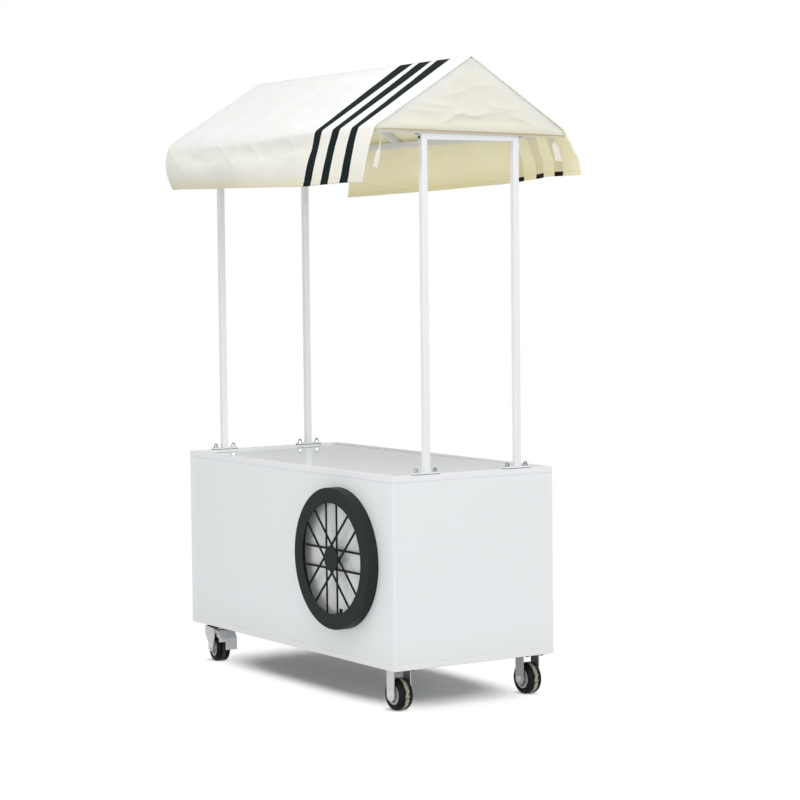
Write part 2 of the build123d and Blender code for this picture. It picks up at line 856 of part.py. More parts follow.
def rigid_fork(level, upright):
    """Top plate with two straight round-ended cheeks."""
    plate_bottom = caster_height - plate_thickness
    half = fork_width / 2
    with BuildPart() as fork:
        with BuildSketch(level.offset(plate_bottom)):
            Rectangle(plate_length, plate_width)
        extrude(amount=plate_thickness)
        for start in (half - fork_thickness, -half):
            with BuildSketch(upright.offset(start)):
                with Locations((0, (plate_bottom + wheel_radius) / 2)):
                    Rectangle(rigid_fork_breadth, plate_bottom - wheel_radius)
                with Locations((0, wheel_radius)):
                    Circle(rigid_fork_breadth / 2)
                    Circle(axle_radius + axle_clearance, mode=Mode.SUBTRACT)
            extrude(amount=fork_thickness)
        with BuildSketch(level.offset(caster_height)):
            with GridLocations(plate_stud_x, plate_stud_y, 2, 2):
                Circle(plate_stud_radius + stud_clearance)
        extrude(amount=-plate_thickness, mode=Mode.SUBTRACT)
    return fork.part


def swivel_plate(level):
    """Fixed top plate of a swivel caster, with the race cup under it."""
    with BuildPart() as plate:
        with BuildSketch(level.offset(caster_height - plate_thickness)):
            Rectangle(plate_length, plate_width)
        extrude(amount=plate_thickness)
        with BuildSketch(level.offset(race_bottom)):
            Circle(race_radius)
        extrude(amount=race_depth)
        with BuildSketch(level.offset(caster_height)):
            with GridLocations(plate_stud_x, plate_stud_y, 2, 2):
                Circle(plate_stud_radius + stud_clearance)
        extrude(amount=-plate_thickness, mode=Mode.SUBTRACT)
        with BuildSketch(level.offset(race_bottom)):
            Circle(kingpin_radius)
        extrude(amount=race_depth + plate_thickness, mode=Mode.SUBTRACT)
    return plate.part


def kingpin(level):
    """Pin that the fork turns on, with a head under the fork's crown."""
    head_top = crown_bottom - race_gap
    with BuildPart() as pin:
        with BuildSketch(level.offset(head_top - kingpin_head_height)):
            Circle(kingpin_head_radius)
        extrude(amount=kingpin_head_height)
        with BuildSketch(level.offset(head_top)):
            Circle(kingpin_radius)
        extrude(amount=caster_height - head_top)
    return pin.part


def swivel_fork(level, upright):
    """Turning fork: a crown plate on the kingpin and two cheeks that trail back to the axle."""
    half = fork_width / 2
    back = -crown_back
    corner = crown_top - cheek_corner_drop
    with BuildPart() as fork:
        with BuildSketch(level.offset(crown_bottom)):
            with Locations(((crown_front + back) / 2, 0)):
                Rectangle(crown_front - back, fork_width)
            Circle(kingpin_radius + axle_clearance, mode=Mode.SUBTRACT)
        extrude(amount=crown_thickness)
        for start in (half - fork_thickness, -half):
            with BuildSketch(upright.offset(start)):
                with BuildLine():
                    Polyline(
                        (back, crown_top),
                        (cheek_front, crown_top),
                        (cheek_front, corner),
                        (swivel_trail + cheek_end_radius, wheel_radius),
                        (swivel_trail - cheek_end_radius, wheel_radius),
                        (back, corner),
                        close=True,
                    )
                make_face()
                with Locations((swivel_trail, wheel_radius)):
                    Circle(cheek_end_radius)
                    Circle(axle_radius + axle_clearance, mode=Mode.SUBTRACT)
                with Locations((pedal_pin_x, pedal_pin_height)):
                    Circle(pedal_pin_radius + pin_clearance, mode=Mode.SUBTRACT)
            extrude(amount=fork_thickness)
    return fork.part


def brake_pin(upright):
    """Pin across the fork that the brake pedal turns on."""
    with BuildPart() as pin:
        with BuildSketch(upright.offset(-fork_width / 2)):
            with Locations((pedal_pin_x, pedal_pin_height)):
                Circle(pedal_pin_radius)
        extrude(amount=fork_width)
    return pin.part


def brake_pedal(upright):
    """Foot pedal: barrel on its pin, arm with a shoe over the tread, and a bent foot plate with a hanging flap."""
    inner = fork_width - 2 * fork_thickness - 2 * pedal_side_gap
    arm_top = pedal_pin_height + pedal_barrel_radius + pedal_plate
    arm_start = pedal_pin_x - pedal_barrel_radius
    knee = pedal_reach - pedal_step
    flap_top = arm_top - pedal_step
    shoe_start = pedal_pin_x + shoe_offset
    shoe_end = shoe_start + shoe_length
    shoe_low = [
        wheel_radius + sqrt((wheel_radius + gap) ** 2 - (place - swivel_trail) ** 2)
        for place, gap in ((shoe_start, shoe_gap), (shoe_end, 2 * shoe_gap))
    ]
    with BuildPart() as pedal:
        with BuildSketch(upright.offset(-inner / 2)):
            with Locations((pedal_pin_x, pedal_pin_height)):
                Circle(pedal_barrel_radius)
        extrude(amount=inner)
        with BuildSketch(upright.offset(-pedal_arm_width / 2)):
            with BuildLine():
                Polyline(
                    (arm_start, arm_top),
                    (knee, arm_top),
                    (knee, arm_top - pedal_plate),
                    (shoe_end, arm_top - pedal_plate),
                    (shoe_end, shoe_low[1]),
                    (shoe_start, shoe_low[0]),
                    (shoe_start, pedal_pin_height),
                    (arm_start, pedal_pin_height),
                    close=True,
                )
            make_face()
        extrude(amount=pedal_arm_width)
        with BuildSketch(upright.offset(-pedal_width / 2)):
            with BuildLine():
                Polyline(
                    (pedal_back, arm_top),
                    (knee, arm_top),
                    (pedal_reach, flap_top),
                    (pedal_reach, flap_top - pedal_lip),
                    (pedal_reach - pedal_plate, flap_top - pedal_lip),
                    (pedal_reach - pedal_plate, flap_top - pedal_plate / 2),
                    (knee - pedal_plate / 2, arm_top - pedal_plate),
                    (pedal_back, arm_top - pedal_plate),
                    close=True,
                )
            make_face()
        extrude(amount=pedal_width)
        with BuildSketch(upright.offset(-pedal_width / 2)):
            with Locations((pedal_reach - pedal_plate / 2, flap_top - pedal_flap / 2)):
                Rectangle(pedal_plate, pedal_flap)
        extrude(amount=pedal_flap_width)
        with BuildSketch(upright.offset(-inner / 2)):
            with Locations((pedal_pin_x, pedal_pin_height)):
                Circle(pedal_pin_radius + pin_clearance)
        extrude(amount=inner, mode=Mode.SUBTRACT)
    return pedal.part


def caster_fixings(levels):
    """Studs that hang from the base frame and the nuts that hold the caster plates."""
    plate_bottom = caster_height - plate_thickness
    studs = []
    nuts = []
    for level in levels:
        with BuildPart() as stud:
            with BuildSketch(level.offset(caster_height)):
                with GridLocations(plate_stud_x, plate_stud_y, 2, 2):
                    Circle(plate_stud_radius)
            extrude(amount=-(plate_thickness + plate_nut_height + plate_stud_end))
        studs.append(stud.part)
        with BuildPart() as nut:
            with BuildSketch(level.offset(plate_bottom)):
                with GridLocations(plate_stud_x, plate_stud_y, 2, 2):
                    RegularPolygon(plate_nut_flats / 2, 6, major_radius=False)
                    Circle(plate_stud_radius + thread_clearance, mode=Mode.SUBTRACT)
            extrude(amount=-plate_nut_height)
        nuts.append(nut.part)
    return group(studs), group(nuts)


def build_casters():
    """Rigid casters at the right end, swivel casters with brakes at the left end."""
    x = cabinet_length / 2 - caster_inset_x
    y = cabinet_depth / 2 - caster_inset_y
    fixed_levels = []
    forks = []
    axles = []
    plates = []
    kingpins = []
    for place, side, turn in (("front", -1, front_swivel_turn), ("rear", 1, rear_swivel_turn)):
        level, upright = caster_planes(x, side * y, 0)
        fixed_levels.append(level)
        forks.append(rigid_fork(level, upright))
        axles.append(axle_bolt(upright, 0))
        save(wheel_tread(level, 0), f"right_{place}_tread")
        save(wheel_hub(level, 0), f"right_{place}_hub")
        mount, _ = caster_planes(-x, side * y, 0)
        fixed_levels.append(mount)
        plates.append(swivel_plate(mount))
        kingpins.append(kingpin(mount))
        level, upright = caster_planes(-x, side * y, turn)
        save(swivel_fork(level, upright), f"left_{place}_fork")
        save(group([axle_bolt(upright, swivel_trail), brake_pin(upright)]), f"left_{place}_fork_pins")
        save(wheel_tread(level, swivel_trail), f"left_{place}_tread")
        save(wheel_hub(level, swivel_trail), f"left_{place}_hub")
        save(brake_pedal(upright), f"left_{place}_brake_pedal")
    save(group(forks), "right_forks")
    save(group(axles), "right_axles")
    save(group(plates), "swivel_plates")
    save(group(kingpins), "kingpins")
    studs, nuts = caster_fixings(fixed_levels)
    save(studs, "caster_studs")
    save(nuts, "caster_nuts")


def build_cabinet():
    """Frame, panels, counter, inside and rear doors."""
    base, uprights, rim = cabinet_frame()
    save(base, "base_frame")
    save(uprights, "corner_uprights")
    save(rim, "top_rim")
    save(corner_gussets(), "corner_gussets")
    panel_length = cabinet_length - 2 * upright_tube
    panel_depth = cabinet_depth - 2 * upright_tube
    bay_length = cabinet_length - 2 * frame_tube
    bay_depth = cabinet_depth - 2 * frame_tube
    front = Plane((0, front_face, bay_middle), x_dir=(1, 0, 0), z_dir=(0, -1, 0))
    right = Plane((right_face, 0, bay_middle), x_dir=(0, 1, 0), z_dir=(1, 0, 0))
    left = Plane((-right_face, 0, bay_middle), x_dir=(0, -1, 0), z_dir=(-1, 0, 0))
    save(sheet_tray(front, panel_length, bay_height, panel_recess), "front_panel")
    save(sheet_tray(right, panel_depth, bay_height, panel_recess), "right_panel")
    save(sheet_tray(left, panel_depth, bay_height, panel_recess), "left_panel")
    top_plane = Plane.XY.offset(cabinet_top)
    floor_plane = Plane.XY.offset(base_top)
    save(sheet_tray(top_plane, bay_length, bay_depth, counter_recess, inset_flange), "countertop")
    save(sheet_tray(floor_plane, bay_length, bay_depth, 0, inset_flange), "cabinet_floor")
    shelf, rails = shelf_and_rails()
    save(shelf, "shelf")
    save(rails, "shelf_rails")
    for side, name in ((-1, "left"), (1, "right")):
        save(sheet_tray(door_plane(side), door_width, door_height, panel_recess), f"{name}_door")
        save(door_handle(side), f"{name}_door_handle")
    frame_leaves, left_leaves, right_leaves, pins = door_hinges()
    save(frame_leaves, "hinge_frame_leaves")
    save(left_leaves, "left_door_hinge_leaves")
    save(right_leaves, "right_door_hinge_leaves")
    save(pins, "hinge_pins")
    save(door_catches(), "door_catches")


def build_roof():
    """Post frames, roof frame and canopy."""
    save(post_frame(-1), "left_post_frame")
    save(post_frame(1), "right_post_frame")
    flanges, pads, studs, nuts = post_feet()
    save(flanges, "post_flanges")
    save(pads, "flange_pads")
    save(studs, "flange_studs")
    save(nuts, "dome_nuts")
    rectangle, ridge, rafters = roof_frame()
    save(rectangle, "roof_rectangle")
    save(ridge, "ridge_bar")
    save(rafters, "rafters")
    brackets, screws = roof_brackets()
    save(brackets, "roof_brackets")
    save(screws, "roof_screws")
    save(canopy_cover(), "canopy_cover")
    save(gable(-1), "left_gable")
    save(gable(1), "right_gable")
    save(tie_tapes(), "tie_tapes")


def build_wheel():
    """Decorative wheel on the front panel."""
    rim, spokes, hub, lugs, screws = decorative_wheel()
    save(rim, "decor_rim")
    save(spokes, "decor_spokes")
    save(hub, "decor_hub")
    save(lugs, "decor_lugs")
    save(screws, "decor_screws")


os.makedirs("parts", exist_ok=True)
build_cabinet()
build_roof()
build_wheel()
build_casters()
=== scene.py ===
# %% [markdown]
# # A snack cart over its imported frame
# The cart is a white sheet-metal cabinet on four casters, with four posts and a gabled canvas roof. The rigid
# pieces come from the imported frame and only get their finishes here. The cloth is made anew, because canvas
# bellies, creases and has sewn hems, and a plain solid shows none of that.

# %% Open the frame
import json

import bpy
import numpy as np
from mathutils import Matrix


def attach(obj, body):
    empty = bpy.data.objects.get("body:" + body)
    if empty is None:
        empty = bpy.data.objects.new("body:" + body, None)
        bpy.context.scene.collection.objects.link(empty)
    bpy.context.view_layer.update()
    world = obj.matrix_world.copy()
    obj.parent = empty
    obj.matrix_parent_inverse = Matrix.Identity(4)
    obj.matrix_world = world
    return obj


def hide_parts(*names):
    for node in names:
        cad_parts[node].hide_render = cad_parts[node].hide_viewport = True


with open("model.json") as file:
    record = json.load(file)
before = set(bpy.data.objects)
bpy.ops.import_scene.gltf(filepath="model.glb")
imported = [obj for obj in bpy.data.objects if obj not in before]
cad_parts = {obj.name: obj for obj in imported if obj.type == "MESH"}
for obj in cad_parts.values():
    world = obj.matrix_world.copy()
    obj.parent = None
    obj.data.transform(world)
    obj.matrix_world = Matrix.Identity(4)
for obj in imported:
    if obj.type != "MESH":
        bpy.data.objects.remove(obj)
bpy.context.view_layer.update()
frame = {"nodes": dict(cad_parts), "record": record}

nodes = frame["nodes"]

# %% [markdown]
# ## Camera
# The photo was taken from the right front with a long lens, a little above the middle of the posts. The place
# and the three angles were solved from the cabinet's corners, the posts and the ridge, so the camera is set
# directly from its axes instead of by pointing it at a target.

# %% Camera
camera_place = (6.7744, -4.2141, 1.3888)
camera_yaw, camera_pitch, camera_roll = np.radians((57.208, 3.382, -0.609))
focal_in_pixels, image_width = 2414.9, 800
sensor_width = 36.0


def placed(axes, place):
    """Matrix of an object: its three axes are columns, and its place is the last one."""
    rows = np.stack(axes, axis=1).tolist()
    return Matrix([[*row, at] for row, at in zip(rows, place)] + [[0, 0, 0, 1]])


across = np.array([np.cos(camera_yaw), np.sin(camera_yaw), 0])
ahead = np.array([-np.sin(camera_yaw) * np.cos(camera_pitch), np.cos(camera_yaw) * np.cos(camera_pitch),
                  -np.sin(camera_pitch)])
above = np.cross(across, ahead)
rolled_across = np.cos(camera_roll) * across + np.sin(camera_roll) * above
rolled_above = np.cos(camera_roll) * above - np.sin(camera_roll) * across
lens = bpy.data.cameras.new("photo_camera")
lens.sensor_width = sensor_width
lens.lens = sensor_width * focal_in_pixels / image_width
lens.clip_end = 100
camera = bpy.data.objects.new("photo_camera", lens)
camera.matrix_world = placed((rolled_across, rolled_above, -ahead), camera_place)
bpy.context.collection.objects.link(camera)
bpy.context.scene.camera = camera
print("camera: lens", round(lens.lens, 2), "mm")

# %% [markdown]
# ## Colours and nodes
# Colours are noted the way they are read from a screen, as sRGB hex values, while shaders work with linear
# light, so one function turns one into the other. A second one adds a node with its settings and its links: a
# key that names an input fills that input, and any other key sets a property of the node.

# %% Colour and node helpers
def linear(hex_colour):
    """Linear RGBA of an sRGB hex colour: each channel goes through the inverse of the screen's curve."""
    channels = np.array([int(hex_colour[i:i + 2], 16) for i in (1, 3, 5)]) / 255
    light = np.where(channels <= 0.04045, channels / 12.92, ((channels + 0.055) / 1.055) ** 2.4)
    return (*light.tolist(), 1.0)


def add(tree, kind, settings=None, links=None):
    """Adds a node of a kind. settings are inputs or properties, and links are inputs, by name or number."""
    node = tree.nodes.new("ShaderNode" + kind)
    for key, value in (settings or {}).items():
        if isinstance(key, int) or key in node.inputs:
            node.inputs[key].default_value = value
        else:
            setattr(node, key, value)
    for key, socket in (links or {}).items():
        tree.links.new(socket, node.inputs[key])
    return node


def finish_of(name, **settings):
    """New material with a Principled surface. Underscores in the settings stand for spaces in its inputs."""
    material = bpy.data.materials.new(name)
    material.use_nodes = True
    tree = material.node_tree
    tree.nodes.clear()
    surface = add(tree, "BsdfPrincipled", {key.replace("_", " "): value for key, value in settings.items()})
    add(tree, "OutputMaterial", links={"Surface": surface.outputs[0]})
    return material, tree, surface


def join(surface, **sockets):
    """Links sockets to inputs of a surface. Underscores stand for spaces here too."""
    for key, socket in sockets.items():
        surface.id_data.links.new(socket, surface.inputs[key.replace("_", " ")])


print("helpers ready; white is", linear("#FFFFFF"))

# %% [markdown]
# ## Light
# The picture is a cut-out on white with a soft grey shadow. An even pale world gives the soft light, one
# large lamp above the right front lifts the roof, one at the right brings out the end, and a fill lamp stands
# beside the camera. A low, wide one in front reaches in under the roof and behind the spokes, one behind
# shines through the canvas, and a weak one lights the left end. Those behind and at the ends give no mirror
# image, which would look like a fault in the counter. Rays straight from the camera see plain white in the
# world, and mirroring surfaces see a trace of it.

# %% World
soft_strength = 0.57
mirrored_white = 0.06

world = bpy.data.worlds.new("studio")
bpy.context.scene.world = world
world.use_nodes = True
tree = world.node_tree
tree.nodes.clear()
path = add(tree, "LightPath")
seen = add(tree, "Math", {"operation": "MAXIMUM"},
           {0: path.outputs["Is Camera Ray"], 1: path.outputs["Is Transmission Ray"]})
seen = add(tree, "Math", {"operation": "MULTIPLY_ADD", 1: mirrored_white, "use_clamp": True},
           {0: path.outputs["Is Glossy Ray"], 2: seen.outputs[0]})
soft_light = add(tree, "Background", {"Color": linear("#F9FAFB"), "Strength": soft_strength})
plain_white = add(tree, "Background", {"Color": linear("#FFFFFF"), "Strength": 1.0})
mixed = add(tree, "MixShader",
            links={0: seen.outputs[0], 1: soft_light.outputs[0], 2: plain_white.outputs[0]})
add(tree, "OutputWorld", links={"Surface": mixed.outputs[0]})
bpy.context.scene.view_settings.view_transform = "Standard"
print("world:", len(tree.nodes), "nodes")

# %% Lamps
middle_of_cart = (0, 0, 0.9)


def add_lamp(name, place, target, size, watts, mirrored):
    """Rectangular lamp that looks from its place to a target. size is its width and its height.

    mirrored tells whether glossy surfaces show its image.
    """
    data = bpy.data.lights.new(name, "AREA")
    data.shape = "RECTANGLE"
    data.size, data.size_y = size
    data.energy = watts
    lamp = bpy.data.objects.new(name, data)
    back = np.array(place, float) - np.array(target, float)
    back /= np.linalg.norm(back)
    side = np.cross((0, 0, 1), back)
    side /= np.linalg.norm(side)
    lamp.matrix_world = placed((side, np.cross(back, side), back), place)
    lamp.visible_glossy = mirrored
    bpy.context.collection.objects.link(lamp)
    return lamp


lamps = [
    add_lamp("overhead_lamp", (1.6, -1.4, 5.2), middle_of_cart, (3.2, 3.2), 99, mirrored=True),
    add_lamp("right_lamp", (5.0, 1.2, 2.6), middle_of_cart, (2.4, 2.4), 43, mirrored=False),
    add_lamp("front_lamp", (0.7, -5.8, 0.55), (0, 0, 1.3), (4.4, 1.0), 57, mirrored=True),
    add_lamp("fill_lamp", (6.0, -3.7, 1.3), middle_of_cart, (2.6, 1.6), 60, mirrored=True),
    add_lamp("back_lamp", (0.8, 6.0, 2.6), (0, 0, 1.2), (3.2, 2.0), 70, mirrored=False),
    add_lamp("left_lamp", (-5.0, 1.0, 2.6), middle_of_cart, (2.4, 2.4), 38, mirrored=False),
]
print("lamps:", len(lamps), "with", sum(lamp.data.energy for lamp in lamps), "W in all")

# %% [markdown]
# ## Floor
# The cart stands on plain paper, of which the picture keeps only the shadow between the casters. A large
# plane would show its edges, so this is a disc that fades out for rays from the camera and from mirroring
# surfaces. For all other light it stays a solid floor that leaves the underside dark.

# %% Floor disc
floor_radius = 1.4

# Rings lie closer together near the middle: the radius grows with the power 1.5. One face fills the first.
rings = floor_radius * np.linspace(0, 1, 25)[1:, None] ** 1.5
turns = np.linspace(0, 2 * np.pi, 65)[None, :-1]
floor_points = np.stack([rings * np.cos(turns), rings * np.sin(turns), 0 * rings * turns], axis=-1)
index = np.arange(rings.size * turns.size).reshape(rings.size, turns.size)
following = np.roll(index, -1, axis=1)
floor_faces = np.stack([index[:-1], index[1:], following[1:], following[:-1]], axis=-1)
floor_mesh = bpy.data.meshes.new("floor")
floor_mesh.from_pydata(floor_points.reshape(-1, 3).tolist(), [],
                       floor_faces.reshape(-1, 4).tolist() + [index[0].tolist()])
floor = bpy.data.objects.new("floor", floor_mesh)
bpy.context.collection.objects.link(floor)
print("floor:", len(floor_mesh.polygons), "faces")

# %% Floor finish
shadow_half = (0.60, 0.26)
wheel_spot = (0.575, 0.246)
contact_half = (0.060, 0.045)

# Matt grey paper, on which only light and shadow show. It fades out around a block with rounded corners: the
# fourth root of the sum of the fourth powers is even along the block's edge.
floor_paper, tree, surface = finish_of("matt_grey_paper", Base_Color=linear("#D4D5D6"), Roughness=0.9)
spot = add(tree, "TexCoord").outputs["Object"]
block = add(tree, "VectorMath", {"operation": "DIVIDE", 1: (*shadow_half, 1.0)}, {0: spot})
square = add(tree, "VectorMath", {"operation": "MULTIPLY"}, {0: block.outputs[0], 1: block.outputs[0]})
edge = add(tree, "VectorMath", {"operation": "LENGTH"}, {0: square.outputs[0]})
edge = add(tree, "Math", {"operation": "SQRT"}, {0: edge.outputs["Value"]})
fade = add(tree, "MapRange", {"interpolation_type": "SMOOTHSTEP", "From Min": 0.72, "From Max": 1.2},
           {0: edge.outputs[0]})

# Close to the wheels it stays, so that their contact shadows show. They lie about evenly to both sides.
beside = add(tree, "VectorMath", {"operation": "ABSOLUTE"}, {0: spot})
beside = add(tree, "VectorMath", {"operation": "SUBTRACT", 1: (*wheel_spot, 0.0)}, {0: beside.outputs[0]})
beside = add(tree, "VectorMath", {"operation": "DIVIDE", 1: (*contact_half, 1.0)}, {0: beside.outputs[0]})
beside = add(tree, "VectorMath", {"operation": "LENGTH"}, {0: beside.outputs[0]})
away = add(tree, "MapRange",
           {"interpolation_type": "SMOOTHSTEP", "From Min": 0.2, "From Max": 1.0, "To Min": 0.2},
           {0: beside.outputs["Value"]})
fade = add(tree, "Math", {"operation": "MULTIPLY"}, {0: fade.outputs[0], 1: away.outputs[0]})
path = add(tree, "LightPath")
seen = add(tree, "Math", {"operation": "MAXIMUM"},
           {0: path.outputs["Is Camera Ray"], 1: path.outputs["Is Glossy Ray"]})
seen = add(tree, "Math", {"operation": "MAXIMUM"},
           {0: seen.outputs[0], 1: path.outputs["Is Transmission Ray"]})
gone = add(tree, "Math", {"operation": "MULTIPLY"}, {0: fade.outputs[0], 1: seen.outputs[0]})
clear = add(tree, "BsdfTransparent")
mixed = add(tree, "MixShader", links={0: gone.outputs[0], 1: surface.outputs[0], 2: clear.outputs[0]})
tree.links.new(mixed.outputs[0], tree.nodes["Material Output"].inputs["Surface"])
floor_mesh.materials.append(floor_paper)
print("floor finish:", floor_paper.name)

# %% [markdown]
# ## Canopy cover
# The cover is one piece of canvas that lies over the ridge and the rafters, bends over the eave bars and
# hangs down as a valance on both long sides. At the left end the front valance bellies out and tucks in at
# the hem; at the right end it flares. A sheet like this is a curve, the cross-section, that changes while it
# is carried along the roof, so the surface is a grid: one parameter runs along the roof and the other along
# the cross-section.

# %% Canopy sizes
ridge_height, eave_reach, eave_height = 2.000, 0.352, 1.781
cover_half = 0.658
slope_length = np.hypot(eave_reach, ridge_height - eave_height)
hem_sway, hem_folds = 0.007, 3
belly_level = 0.47
# Places along the roof, and the height of the hem there.
front_hem = ((-0.66, 0.0, 0.29, 0.54, 0.66), (1.630, 1.617, 1.610, 1.615, 1.6115))
rear_hem = ((-0.66, -0.2, 0.25, 0.51, 0.66), (1.606, 1.613, 1.6245, 1.642, 1.641))


def mixed_between(low, high, value):
    """Smooth step: 0 at low, 1 at high, and a level start and end between them."""
    t = np.clip((value - low) / (high - low), 0, 1)
    return t * t * (3 - 2 * t)


def valance_side(share, down, hem_line, hem_reaches, bellies):
    """Half of a cross-section below the eave, as reach and height.

    A quadratic curve from the eave to the hem, through a belly point outside the chord between them. share
    runs along the roof from 0 at the left to 1 at the right, down from 0 at the eave to 1 at the hem. The
    hem's reach is a straight mix of its values at both ends and the belly a smooth one, three soft folds sway
    the hem, and hem_line gives its height between a few places along the roof.
    """
    fold = hem_sway * np.sin(2 * np.pi * hem_folds * share)
    hem = hem_reaches[0] + (hem_reaches[1] - hem_reaches[0]) * share + fold
    hem_height = np.interp(cover_half * (2 * share - 1), *hem_line)
    chord_middle = (eave_reach + hem) / 2
    belly = chord_middle + bellies[0] + (bellies[1] - bellies[0]) * mixed_between(0.10, 0.68, share)
    pull = 2 * belly - chord_middle
    pull_height = (1 - belly_level) * eave_height + belly_level * hem_height
    reach = eave_reach * (1 - down) ** 2 + 2 * pull * down * (1 - down) + hem * down ** 2
    height = eave_height * (1 - down) ** 2 + 2 * pull_height * down * (1 - down) + hem_height * down ** 2
    return reach, height


print("canopy: slopes", round(float(slope_length), 3), "m long")

# %% Canopy surface
hem_start = 0.915
share = np.linspace(0, 1, 220)[:, None]
down = np.concatenate([np.linspace(0, hem_start, 38)[:-1], np.linspace(hem_start, 1, 6)])[None, :]
slide = np.linspace(0, 1, 45)[None, 1:-1]
front_reach, front_height = valance_side(share, down, front_hem, (0.345, 0.399), (0.023, 0.003))
rear_reach, rear_height = valance_side(share, down, rear_hem, (0.359, 0.408), (0.013, 0.011))
slope_reach = eave_reach * slide + 0 * share
slope_height = ridge_height - (ridge_height - eave_height) * slide + 0 * share
ridge_line = 0 * share + ridge_height
cover_y = np.concatenate(
    [-front_reach[:, ::-1], -slope_reach[:, ::-1], 0 * share, slope_reach, rear_reach], axis=1)
cover_z = np.concatenate(
    [front_height[:, ::-1], slope_height[:, ::-1], ridge_line, slope_height, rear_height], axis=1)
cover_x = cover_half * (2 * share - 1) + 0 * cover_y
print("cover grid:", cover_x.shape)

# %% Soft eaves
def bell(value, middle, width):
    """Bell curve: 1 at the middle, and it falls with the square of the distance, counted in widths."""
    return np.exp(-((value - middle) / width) ** 2)


# The eaves are puffy at the left and sharp at the right: points near them move to the middle of their
# neighbours, again and again.
eave_rounds, eave_spread = 26, 4.0
rows = cover_y.shape[1]
eave_rows = (down.shape[1] - 1, rows - down.shape[1])
puffy = 0.04 + 0.96 * mixed_between(0.28, -0.20, cover_x)
softness = np.clip(sum(bell(np.arange(rows)[None, :], row, eave_spread) for row in eave_rows) * puffy, 0, 1)
for _ in range(eave_rounds):
    for values in (cover_y, cover_z):
        values[:, 1:-1] += 0.5 * softness[:, 1:-1] * ((values[:, :-2] + values[:, 2:]) / 2 - values[:, 1:-1])

# Lengths on the cloth, from the ridge, from the eave and from the nearer hem.
steps = np.hypot(np.diff(cover_y, axis=1), np.diff(cover_z, axis=1))
length_along = np.concatenate([0 * share, np.cumsum(steps, axis=1)], axis=1)
from_ridge = length_along - length_along[:, rows // 2:rows // 2 + 1]
to_hem = np.minimum(length_along, length_along[:, -1:] - length_along)
below_eave = np.abs(from_ridge) - slope_length
hanging = mixed_between(-0.02, 0.03, below_eave)
print("cloth:", round(float(length_along[:, -1].mean()), 3), "m from hem to hem")

# %% [markdown]
# ## Creases of the cover
# Canvas that was folded for a long time keeps creases, and where a seam pulls it puckers. These could be
# sculpted, but formulas keep them exact: each kind of crease is a height over the cloth, all heights are
# added up, and every point moves outwards by the sum.

# %% Sag and ripples
rafter_places = np.array([-0.64, -0.265, 0.265, 0.64])


def soft_noise(a, b, wavelengths, seed):
    """Smooth unevenness: a sum of plane waves with random headings and phases, four per wavelength."""
    local = np.random.default_rng(seed)
    total = 0
    for wavelength in wavelengths:
        for heading in local.uniform(0, 2 * np.pi, 4):
            wave = (a * np.cos(heading) + b * np.sin(heading)) / wavelength
            total = total + np.sin(2 * np.pi * wave + local.uniform(0, 2 * np.pi)) / 4
    return total / len(wavelengths)


# Taut over the rafters with a little sag between them.
nearest = np.abs(cover_x[..., None] - rafter_places).min(axis=-1)
down_slope = np.clip(np.abs(from_ridge) / slope_length, 0, 1)
sag = -0.001 * (1 - hanging) * mixed_between(0.02, 0.16, nearest) * np.sin(np.pi * down_slope)
ripples = 0.0007 * soft_noise(cover_x, from_ridge, (0.13, 0.21), 3)
print("slopes: sag of", round(float(-sag.min()) * 1000, 2), "mm between the rafters")

# %% Folds of the front valance
end_fall = 0.025


def ridge_on_line(across, height, line, above_fall, below_fall):
    """A buckle along a straight line: it falls off with its own length above it, below it and past its ends.

    line holds both ends of it, each as a place across and a height, and how far the ridge stands out.
    """
    from_a, from_h, to_a, to_h, peak = line
    length = np.hypot(to_a - from_a, to_h - from_h)
    along_a, along_h = (to_a - from_a) / length, (to_h - from_h) / length
    along = (across - from_a) * along_a + (height - from_h) * along_h
    above = (height - from_h) * along_a - (across - from_a) * along_h
    past = np.maximum(np.maximum(-along, along - length), 0)
    fall = np.where(above > 0, above_fall, below_fall)
    return peak * np.exp(-np.abs(above) / fall) * bell(past, 0, end_fall)


# The front valance is drawn in under the eave bar along its left two thirds, so that it faces down there and
# up below, with slanting folds across.
front = from_ridge < 0
loose = front * mixed_between(0.40, 0.24, cover_x) * mixed_between(-0.65, -0.5, cover_x)
waver = soft_noise(cover_x, 0 * cover_x, (0.16, 0.27), 11)
tuck = -0.010 * loose * (0.9 + 0.4 * waver) * bell(below_eave - 0.05 - 0.012 * waver, 0, 0.034)
fold_lines = (  # place along the roof and height above the eave of both ends, and how far the fold stands out
    (-0.500, -0.015, -0.460, -0.037, 0.0018), (-0.300, -0.018, -0.190, -0.082, 0.0023),
    (-0.105, -0.018, -0.030, -0.062, 0.0021), (0.150, -0.018, 0.178, -0.043, 0.0018),
    (-0.626, -0.034, -0.530, -0.096, 0.0018), (-0.415, -0.053, -0.360, -0.060, 0.0016),
    (-0.200, -0.074, -0.140, -0.091, 0.0014), (0.060, -0.074, 0.265, -0.064, 0.0020))
folds = front * sum(ridge_on_line(cover_x, -below_eave, line, 0.012, 0.009) for line in fold_lines)
puckers = 0.0030 * loose * bell(below_eave, 0.015, 0.03) * soft_noise(
    cover_x, 0.5 * below_eave, (0.075, 0.12), 23)
print("front valance:", len(fold_lines), "folds")

# %% Folds of both valances and the hem
hem_band = 0.014
stands_off = 0.0012

left_end = mixed_between(-0.75, -0.3, cover_x)
slanting = 0.0032 * hanging * left_end * soft_noise(
    cover_x + 0.8 * below_eave, 0.5 * below_eave, (0.17, 0.26), 5)
pinched = bell(below_eave, 0.055, 0.04)
creases = 0.0022 * pinched * (0.3 + 0.7 * loose) * soft_noise(
    0.42 * cover_x, 1.3 * below_eave + 0.12 * cover_x, (0.05, 0.08), 17)

